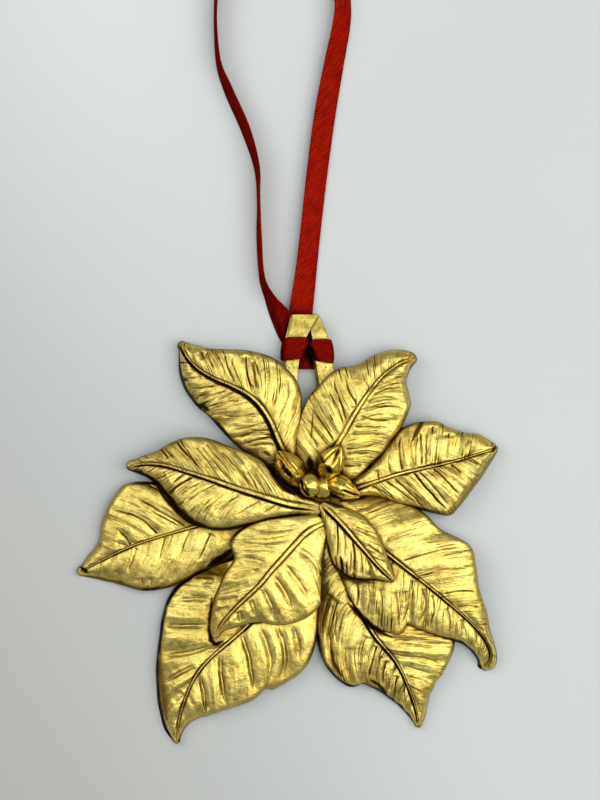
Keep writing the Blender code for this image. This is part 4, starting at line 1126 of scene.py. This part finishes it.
def makeKnot(material):
    # a pulled overhand knot: a band wound twice round the two strands, and two cut tails
    pieces = []
    cx, cy, cz = knot["centre"]
    turns = np.linspace(0.0, 2 * math.pi, knot["turnRows"])
    for name, lean, size in knot["turns"]:
        lean = math.radians(lean)
        reach = knot["size"][0] * size
        line = np.stack([reach * np.cos(turns), 0 * turns, knot["size"][2] * size * np.sin(turns)], axis=1)
        spin = np.array(((math.cos(lean), -math.sin(lean), 0), (math.sin(lean), math.cos(lean), 0), (0, 0, 1)))
        heading = np.gradient(line, axis=0)
        wide = np.tile(np.array((0.0, -knot["halfWidth"] * size, 0.0)), (len(turns), 1))
        thick = np.cross(heading, wide)
        thick /= np.linalg.norm(thick, axis=1)[:, None]
        if np.sum(thick * line) < 0:
            wide, thick = -wide, -thick
        line, wide, thick = line @ spin.T, wide @ spin.T, thick @ spin.T
        line = line + np.array((cx, cy, cz))
        pieces.append(bandPiece(name, line, wide, thick * ribbon["thickness"] / 2, material))
    for name, side, end in knot["tails"]:
        lean = math.radians(knot["spread"]) * side
        share = np.linspace(0.0, 1.0, knot["tailRows"])
        reach = knot["size"][1] * 0.5 - knot["tucked"] + (knot["tail"] + knot["tucked"]) * share
        level = end + knot["rise"] * (1 - share) ** 2
        line = np.stack([cx + math.sin(lean) * reach, cy + math.cos(lean) * reach, level], axis=1)
        wide = np.tile(np.array((math.cos(lean), -math.sin(lean), 0.0)) * ribbon["width"] / 2, (len(share), 1))
        thick = np.tile(np.array((0.0, 0.0, ribbon["thickness"] / 2)), (len(share), 1))
        pieces.append(bandPiece(name, line, wide, thick, material))
    return pieces


# Materials

finishes = {
    "gold": "#EDDA7A",
    "goldDeep": "#DCBC58",
    # umber, then patinaAndShadow: the brown and black-brown of the tarnish and of the painted shade
    "umber": "#8A6A1C",
    "patinaAndShadow": "#1C1206",
    "budGold": "#F0D66C",
    # amber: painted reflection of gold between the bracts, and the buds' thin tarnish and painted shade
    "amber": "#C2982F",
    "stripGold": "#AC9A46",
    "stripPale": "#DCCB74",
    # painted highlight on the strip's left slope
    "stripHighlight": "#FFEE8C",
    # shaded and lit reds between which the satin's painted highlights run
    "redLit": "#D0250F",
    "redShade": "#5E0604",
    # painted shade in the ribbon's folds
    "redDeep": "#1C0202",
    "redSheen": "#B41C14",
    # painted shade under the hitch
    "redUnder": "#080101",
    # the table's white and faint clouds, then its painted light towards the upper left and painted shade
    # towards the lower left
    "table": "#D9DEDD",
    "tableCloud": "#D3D8D7",
    "tablePaintedLight": "#E2E7E8",
    "tablePaintedShade": "#BDBFBB",
}
colours = {name: linear(code) for name, code in finishes.items()}

# sizes are in millimetres; recess is how far the painted shade between the pieces reaches
castBrass = {
    "recess": 2.4,
    "mottle": 1.2,  # sandy skin of the casting, coarse and fine
    "sand": 0.35,
    "scores": (3.8, 0.19, 1.0),  # per millimetre across and along, so 0.26 x 5 mm each
    "scoreGroup": 4.0,
    "cloud": 5.0,
    "depths": (0.25, 0.09, 0.2),  # of the mottle, the sand and the scores
    "roughness": (0.31, 0.43),
}
budBrass = {"recess": 2.0, "dent": 1.1, "dentDepth": 0.22, "roughness": 0.27}
rolledBrass = {
    "recess": 1.5,
    "drawLine": (0.3, 9.0),
    "lineDepth": 0.06,
    "cloud": 1.6,
    "pinHead": 0.5,
    "fold": (39.0, 46.0),  # painted shade grows between these heights, towards the fold
    "leftLeg": (1.5, 2.5),  # X where the left leg ends
    "roughness": 0.42,
}
satinWeave = {
    "recess": 3.5,
    "twill": 0.42,  # from line to line, coarser than the real threads so that they show
    "slope": -0.53,  # 28 degrees off the length
    "warp": 0.5,
    "dots": 0.55,
    "selvedge": (0.78, 0.83),  # where it starts, from 0 in the middle to 1 at the edge
    "wander": (1.3, 0.5),  # bends per millimetre, and how far the threads stray
    "streaks": (2.2, 0.35, 1.0),  # per millimetre across and along the twill, so 0.5 x 3 mm each
    "threadDepth": 0.06,
    "roughness": 0.5,
}
laminate = {
    "cloud": 60.0,
    "near": (-110.0, 35.0),  # where the painted shade of the lower left ends, measured across it
    "far": (40.0, 170.0),  # where the painted light of the upper left starts and is full
    "roughness": 0.75,
}


def tarnishedAndShaded(tree, stainAndShade, colour, brown="umber"):
    # bright plating, then thin brown, then black-brown, as the tarnish and painted shade grow
    thin = addNode(tree, "MapRange", (stainAndShade, 0.0, 0.45, 0.0, 1.0))
    thick = addNode(tree, "MapRange", (stainAndShade, 0.35, 0.85, 0.0, 1.0))
    # 6, 7 and output 2 of a Mix node are its colours
    for factor, name in ((thin, brown), (thick, "patinaAndShadow")):
        layer = addNode(tree, "Mix", {"Factor": factor, 6: colour, 7: colours[name]}, data_type="RGBA")
        colour = layer.outputs[2]
    return colour


def goldPlate():
    # gold-plated cast brass: soft gloss on the high places, brown tarnish left in the veins and recesses, which
    # the polishing wheel doesn't reach, and painted shade in the recesses, between the bracts and on the steep
    # sides
    material, tree, shader = newMaterial("goldPlatedCastBrass")
    tarnishAndShade = addNode(tree, "Attribute", attribute_name="tarnishAndShade")
    grain = addNode(tree, "Attribute", attribute_name="grain").outputs["Vector"]
    place = addNode(tree, "TexCoord").outputs["Object"]
    # painted shade in the recesses and between the bracts
    shade = addNode(tree, "AmbientOcclusion", {
        "Distance": castBrass["recess"] * mm}, samples=6, only_local=False)
    darkness = addNode(tree, "MapRange", (shade.outputs["AO"], 0.38, 0.85, 1.0, 0.0))
    facing = addNode(tree, "SeparateXYZ", {"Vector": addNode(tree, "NewGeometry").outputs["Normal"]})
    # painted shade on the steep sides
    side = addNode(tree, "MapRange", (facing.outputs["Z"], 0.05, 0.5, 0.9, 0.0))
    mottle, sand, groups, cloud = (addNode(tree, "TexNoise", {
        "Vector": place, "Scale": 1 / (castBrass[name] * mm), "Detail": detail})
        for name, detail in (("mottle", 3.0), ("sand", 2.0), ("scoreGroup", 1.0), ("cloud", 4.0)))
    smudge = addNode(tree, "MapRange", (mottle, 0.34, 0.5, 0.2, 0.0))
    # scores of the carved master gather in groups; the third part of the grain tells how strong they are
    streak = addNode(tree, "VectorMath", (grain, castBrass["scores"]), operation="MULTIPLY")
    lines = addNode(tree, "TexNoise", {"Vector": streak, "Scale": 1.0, "Detail": 3.0})
    halves = addNode(tree, "SeparateXYZ", {"Vector": grain})
    grouped = addNode(tree, "MapRange", (groups, 0.38, 0.6, 0.15, 1.15))
    scored = addNode(tree, "Math", (grouped, halves.outputs["Z"]), operation="MULTIPLY")
    scores = addNode(tree, "MapRange", (lines, 0.35, 0.45, scored, 0.0))
    # the darkest of all these marks shows
    deepest = addNode(tree, "Math", (darkness, tarnishAndShade.outputs["Fac"]), operation="MAXIMUM")
    wallShadeAndTarnish = addNode(tree, "Math", (deepest, side), operation="MAXIMUM")
    marks = addNode(tree, "Math", (smudge, scores), operation="MAXIMUM")
    stainAndShade = addNode(tree, "Math", (wallShadeAndTarnish, marks), operation="MAXIMUM", use_clamp=True)
    # two golds in clouds, and a painted reflection of the gold between the bracts
    tone = addNode(tree, "MapRange", (cloud, 0.35, 0.65, 0.0, 0.6))
    near = addNode(tree, "MapRange", (shade.outputs["AO"], 0.6, 0.97, 0.8, 0.0))
    colour = colours["gold"]
    for factor, name in ((tone, "goldDeep"), (near, "amber")):
        layer = addNode(tree, "Mix", {"Factor": factor, 6: colour, 7: colours[name]}, data_type="RGBA")
        colour = layer.outputs[2]
    polish = addNode(tree, "MapRange", (mottle, 0.35, 0.65, *castBrass["roughness"]))
    dull = addNode(tree, "Math", (stainAndShade, 0.3, polish), operation="MULTIPLY_ADD")
    bump = None
    for height, depth, strength in zip((mottle, sand, lines), castBrass["depths"], (0.5, 0.7, scored)):
        under = {"Normal": bump} if bump else {}
        bump = addNode(tree, "Bump", {"Height": height, "Distance": depth * mm, "Strength": strength, **under})
    colour = tarnishedAndShaded(tree, stainAndShade, colour)
    fillInputs(tree, shader, {"Metallic": 1.0, "Roughness": dull, "Base Color": colour, "Normal": bump})
    return material


def budPlate():
    # the same plating, burnished: nearly a mirror on top, tarnished in the slits, with painted shade round the
    # sides and between the buds
    material, tree, shader = newMaterial("burnishedGoldPlate")
    tarnishAndShade = addNode(tree, "Attribute", attribute_name="tarnishAndShade")
    facing = addNode(tree, "SeparateXYZ", {"Vector": addNode(tree, "NewGeometry").outputs["Normal"]})
    # painted shade on the lower sides
    side = addNode(tree, "MapRange", (facing.outputs["Z"], -0.1, 0.5, 0.9, 0.0))
    stainAndShade = addNode(tree, "Math", (tarnishAndShade.outputs["Fac"], side), operation="MAXIMUM", use_clamp=True)
    # painted shade between the buds
    shade = addNode(tree, "AmbientOcclusion", {
        "Distance": budBrass["recess"] * mm}, samples=6, only_local=False)
    crowdedShade = addNode(tree, "MapRange", (shade.outputs["AO"], 0.2, 0.75, 0.95, 0.0))
    deepest = addNode(tree, "Math", (stainAndShade, crowdedShade), operation="MAXIMUM")
    # fingered skin of the wax master
    place = addNode(tree, "TexCoord").outputs["Object"]
    dents = addNode(tree, "TexNoise", {"Vector": place, "Scale": 1 / (budBrass["dent"] * mm), "Detail": 2.0})
    bump = addNode(tree, "Bump", {"Height": dents, "Distance": budBrass["dentDepth"] * mm, "Strength": 0.7})
    colour = tarnishedAndShaded(tree, deepest, colours["budGold"], "amber")
    fillInputs(tree, shader, {
        "Metallic": 1.0, "Roughness": budBrass["roughness"], "Base Color": colour, "Normal": bump})
    return material


def stripBrass():
    # rolled brass strip, gold plated: even satin gloss in two golds, faint lengthwise draw lines, pin-head
    # tarnish, painted shade towards the fold and in the recesses, and a painted highlight on the left leg's
    # outer slope
    material, tree, shader = newMaterial("rolledBrassStrip")
    place = addNode(tree, "TexCoord").outputs["Object"]
    across, along = (1 / (size * mm) for size in rolledBrass["drawLine"])
    drawn = addNode(tree, "VectorMath", (place, (across, along, across)), operation="MULTIPLY")
    lines = addNode(tree, "TexNoise", {"Vector": drawn, "Scale": 1.0, "Detail": 3.0})
    cloud, pins = (addNode(tree, "TexNoise", {
        "Vector": place, "Scale": 1 / (rolledBrass[name] * mm), "Detail": detail})
        for name, detail in (("cloud", 4.0), ("pinHead", 2.0)))
    blotch = addNode(tree, "MapRange", (cloud, 0.38, 0.62, 0.0, 1.0))
    specks = addNode(tree, "MapRange", (pins, 0.33, 0.44, 0.38, 0.0))
    parts = addNode(tree, "SeparateXYZ", {"Vector": place})
    low, high = rolledBrass["fold"]
    fold = addNode(tree, "MapRange", (parts.outputs["Y"], low * mm, high * mm, 0.0, 0.4))
    # painted shade in the recesses
    shade = addNode(tree, "AmbientOcclusion", {
        "Distance": rolledBrass["recess"] * mm}, samples=6, only_local=False)
    inner = addNode(tree, "MapRange", (shade.outputs["AO"], 0.3, 0.8, 1.0, 0.0))
    # patchy painted shade towards the fold
    stainAndShade = addNode(tree, "Math", (fold, cloud), operation="MULTIPLY")
    marks = addNode(tree, "Math", (stainAndShade, specks), operation="MAXIMUM")
    deepest = addNode(tree, "Math", (marks, inner), operation="MAXIMUM")
    # painted highlight on the outer slope of the left leg
    facing = addNode(tree, "SeparateXYZ", {"Vector": addNode(tree, "NewGeometry").outputs["Normal"]})
    outward = addNode(tree, "MapRange", (facing.outputs["X"], -0.7, -0.2, 1.0, 0.0))
    low, high = rolledBrass["leftLeg"]
    leftLeg = addNode(tree, "MapRange", (parts.outputs["X"], low * mm, high * mm, 1.0, 0.0))
    slopeHighlight = addNode(tree, "Math", (outward, leftLeg), operation="MULTIPLY")
    colour = colours["stripGold"]
    for factor, name in ((blotch, "stripPale"), (slopeHighlight, "stripHighlight")):
        layer = addNode(tree, "Mix", {"Factor": factor, 6: colour, 7: colours[name]}, data_type="RGBA")
        colour = layer.outputs[2]
    bump = addNode(tree, "Bump", {"Height": lines, "Distance": rolledBrass["lineDepth"] * mm, "Strength": 0.7})
    colour = tarnishedAndShaded(tree, deepest, colour)
    fillInputs(tree, shader, {
        "Metallic": 1.0, "Roughness": rolledBrass["roughness"], "Base Color": colour, "Normal": bump})
    return material


def redSatin():
    # woven ribbon with a satin face: a fine slanting twill and a tight dotted selvedge catch the light, painted
    # as highlights between a shaded and a lit red
    material, tree, shader = newMaterial("redSatinRibbon")
    weave = addNode(tree, "Attribute", attribute_name="weave").outputs["Vector"]
    parts = addNode(tree, "SeparateXYZ", {"Vector": weave})
    along = parts.outputs["X"]
    # the threads wander a little, and the twill slants over them
    bends, stray = satinWeave["wander"]
    wander = addNode(tree, "TexNoise", {"Vector": weave, "Scale": bends, "Detail": 2.0})
    shift = addNode(tree, "Math", (wander, stray), operation="MULTIPLY")
    steep = addNode(tree, "Math", (along, satinWeave["slope"], shift), operation="MULTIPLY_ADD")
    slant = addNode(tree, "Math", (parts.outputs["Y"], steep), operation="ADD")
    waves = []
    for run, name in ((slant, "twill"), (along, "warp"), (along, "dots")):
        phase = addNode(tree, "Math", (run, 2 * math.pi / satinWeave[name]), operation="MULTIPLY")
        waves.append(addNode(tree, "Math", (phase,), operation="SINE"))
    twill, warp, dots = waves
    cloth = addNode(tree, "Math", (warp, 0.5, twill), operation="MULTIPLY_ADD")
    edge = addNode(tree, "MapRange", (parts.outputs["Z"], *satinWeave["selvedge"], 0.0, 1.0))
    face = addNode(tree, "Mix", {"Factor": edge, 2: cloth, 3: dots}, data_type="FLOAT")
    # painted lighter and darker streaks of sheen along the twill, where the satin lies a little higher or lower
    streakPlace = addNode(tree, "CombineXYZ", (slant, along))
    streakScale = addNode(tree, "VectorMath", (streakPlace, satinWeave["streaks"]), operation="MULTIPLY")
    streaks = addNode(tree, "TexNoise", {"Vector": streakScale, "Scale": 1.0, "Detail": 3.0})
    uneven = addNode(tree, "Math", (streaks, 4.0, face), operation="MULTIPLY_ADD")
    # painted highlights of the twill, the dots and the streaks, from a shaded to a lit red
    tone = addNode(tree, "MapRange", (uneven, 1.0, 3.2, 0.0, 1.0))
    # painted shade in the folds and between the turns
    shade = addNode(tree, "AmbientOcclusion", {
        "Distance": satinWeave["recess"] * mm}, samples=6, only_local=False)
    foldShade = addNode(tree, "MapRange", (shade.outputs["AO"], 0.3, 0.95, 0.92, 0.0))
    # painted shade under the turns of the hitch, evenly over it, and along the left strand where it faces away
    # from the light
    under = addNode(tree, "Attribute", attribute_name="shade").outputs["Fac"]
    colour = colours["redShade"]
    for factor, name in ((tone, "redLit"), (foldShade, "redDeep"), (under, "redUnder")):
        layer = addNode(tree, "Mix", {"Factor": factor, 6: colour, 7: colours[name]}, data_type="RGBA")
        colour = layer.outputs[2]
    bump = addNode(tree, "Bump", {"Height": face, "Distance": satinWeave["threadDepth"] * mm, "Strength": 0.8})
    # dyed fibres glance red, not white
    fillInputs(tree, shader, {
        "Roughness": satinWeave["roughness"], "Specular IOR Level": 0.0, "Sheen Weight": 0.1,
        "Sheen Roughness": 0.4, "Sheen Tint": colours["redSheen"], "Base Color": colour, "Normal": bump})
    return material


def paleTable():
    # matt white laminate, faintly uneven, with painted shade towards the lower left and painted light towards
    # the upper left, as in the photograph
    material, tree, shader = newMaterial("paleTable")
    place = addNode(tree, "TexCoord").outputs["Object"]
    cloud = addNode(tree, "TexNoise", {"Vector": place, "Scale": 1 / (laminate["cloud"] * mm), "Detail": 2.0})
    parts = addNode(tree, "SeparateXYZ", {"Vector": place})
    lower = addNode(tree, "Math", (parts.outputs["Y"], 0.7), operation="MULTIPLY")
    slope = addNode(tree, "Math", (parts.outputs["X"], 1.3, lower), operation="MULTIPLY_ADD")
    across = addNode(tree, "Math", (parts.outputs["Y"], parts.outputs["X"]), operation="SUBTRACT")
    low, high = laminate["near"]
    near = addNode(tree, "MapRange", (slope, low * mm, high * mm, 1.0, 0.0), interpolation_type="SMOOTHSTEP")
    low, high = laminate["far"]
    far = addNode(tree, "MapRange", (across, low * mm, high * mm, 0.0, 1.0), interpolation_type="SMOOTHSTEP")
    colour = colours["table"]
    for factor, name in ((cloud, "tableCloud"), (far, "tablePaintedLight"), (near, "tablePaintedShade")):
        layer = addNode(tree, "Mix", {"Factor": factor, 6: colour, 7: colours[name]}, data_type="RGBA")
        colour = layer.outputs[2]
    fillInputs(tree, shader, {"Roughness": laminate["roughness"], "Base Color": colour})
    return material


# Light: a soft key from the right, a wide ceiling panel and a faint pale wall on the left

# places and sizes in millimetres, power in watts
lamps = {
    "window": {"place": (235, 10, 420), "size": 420, "power": 1.25, "colour": "#FFFDF8"},
    "ceiling": {"place": (20, 30, 700), "size": 480, "power": 1.0, "colour": "#FFFFFF"},
    "wall": {"place": (-310, 170, 360), "size": 300, "power": 0.6, "colour": "#FFFFFF"},
}
room = {"aim": (4.0, 20.0, 0.0), "colour": "#D8DCDE", "strength": 0.37}


def addLights():
    for name, lamp in lamps.items():
        data = bpy.data.lights.new(name, "AREA")
        data.shape = "SQUARE"
        data.size = lamp["size"] * mm
        data.energy = lamp["power"]
        data.color = linear(lamp["colour"])[:3]
        light = bpy.data.objects.new(name, data)
        light.location = [v * mm for v in lamp["place"]]
        aim = Vector(room["aim"]) * mm - Vector(light.location)
        light.rotation_euler = aim.to_track_quat("-Z", "Y").to_euler()
        bpy.context.scene.collection.objects.link(light)
    world = bpy.data.worlds.new("studio")
    bpy.context.scene.world = world
    world.use_nodes = True
    background = world.node_tree.nodes["Background"]
    background.inputs["Color"].default_value = linear(room["colour"])
    background.inputs["Strength"].default_value = room["strength"]


# Build

addCamera()
satin = redSatin()
leftStrand, leftLine = makeStrand("leftStrand", ribbon["leftRoute"], satin)
rightStrand, rightLine = makeStrand("rightStrand", ribbon["rightRoute"], satin)
wraps = [
    wrapPiece("leftWrap", hitch["leftTop"], hitch["leftBottom"], 1, satin),
    wrapPiece("rightWrap", hitch["rightTop"], hitch["rightBottom"], -1, satin),
    bightPiece("bight", satin),
]
# painted shade on the hitch and the left strand
for piece in wraps + [leftStrand]:
    shadeHitch(piece)
knotPieces = makeKnot(satin)
print("ribbon made")

goldCast = goldPlate()
# each bract has seeds of its own
shells = {name: bractShell(bract, 11 + 7 * number) for number, (name, bract) in enumerate(bracts.items())}
bractGroups = {
    "upperBracts": ("upperLeft", "upperRight", "right"),
    "centreBracts": ("leftTop", "centreLeft", "centreRight"),
    "leftBracts": ("farLeft", "lowerLeft"),
    "rightBracts": ("lowerRight", "bottom"),
}
bractPieces = [joinShells(group, [shells[name] for name in names], goldCast)
               for group, names in bractGroups.items()]
budShells = [budShell(bud) for bud in buds.values()] + [plainShell(stalk)]
budPieces = joinShells("flowerBuds", budShells, budPlate())
hubPiece = joinShells("castHub", [plainShell(hub)], goldCast)
stripPiece = makeStrip(stripBrass())
print("brass made")

table = {"reach": 900.0, "level": -0.02}
reach, level = table["reach"], table["level"]
corners = [(-reach, -reach, level), (reach, -reach, level), (reach, reach, level), (-reach, reach, level)]
floor = placePiece("table", corners, [(0, 1, 2, 3)], paleTable())
addLights()
bpy.context.scene.view_settings.view_transform = "Standard"
print("table and lights made")

# What each piece stands for and rides on

for piece in bractPieces + [budPieces, hubPiece]:
    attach(piece, "root")
    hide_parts("poinsettia_casting")
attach(stripPiece, "root")
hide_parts("hanging_strip")
for piece in wraps:
    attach(piece, "root")
    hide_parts("ribbon_hitch")
for piece in knotPieces:
    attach(piece, "root")
    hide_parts("ribbon_knot")
for piece, node in ((leftStrand, "ribbon_left_strand"), (rightStrand, "ribbon_right_strand")):
    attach(piece, "root")
    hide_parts(node)
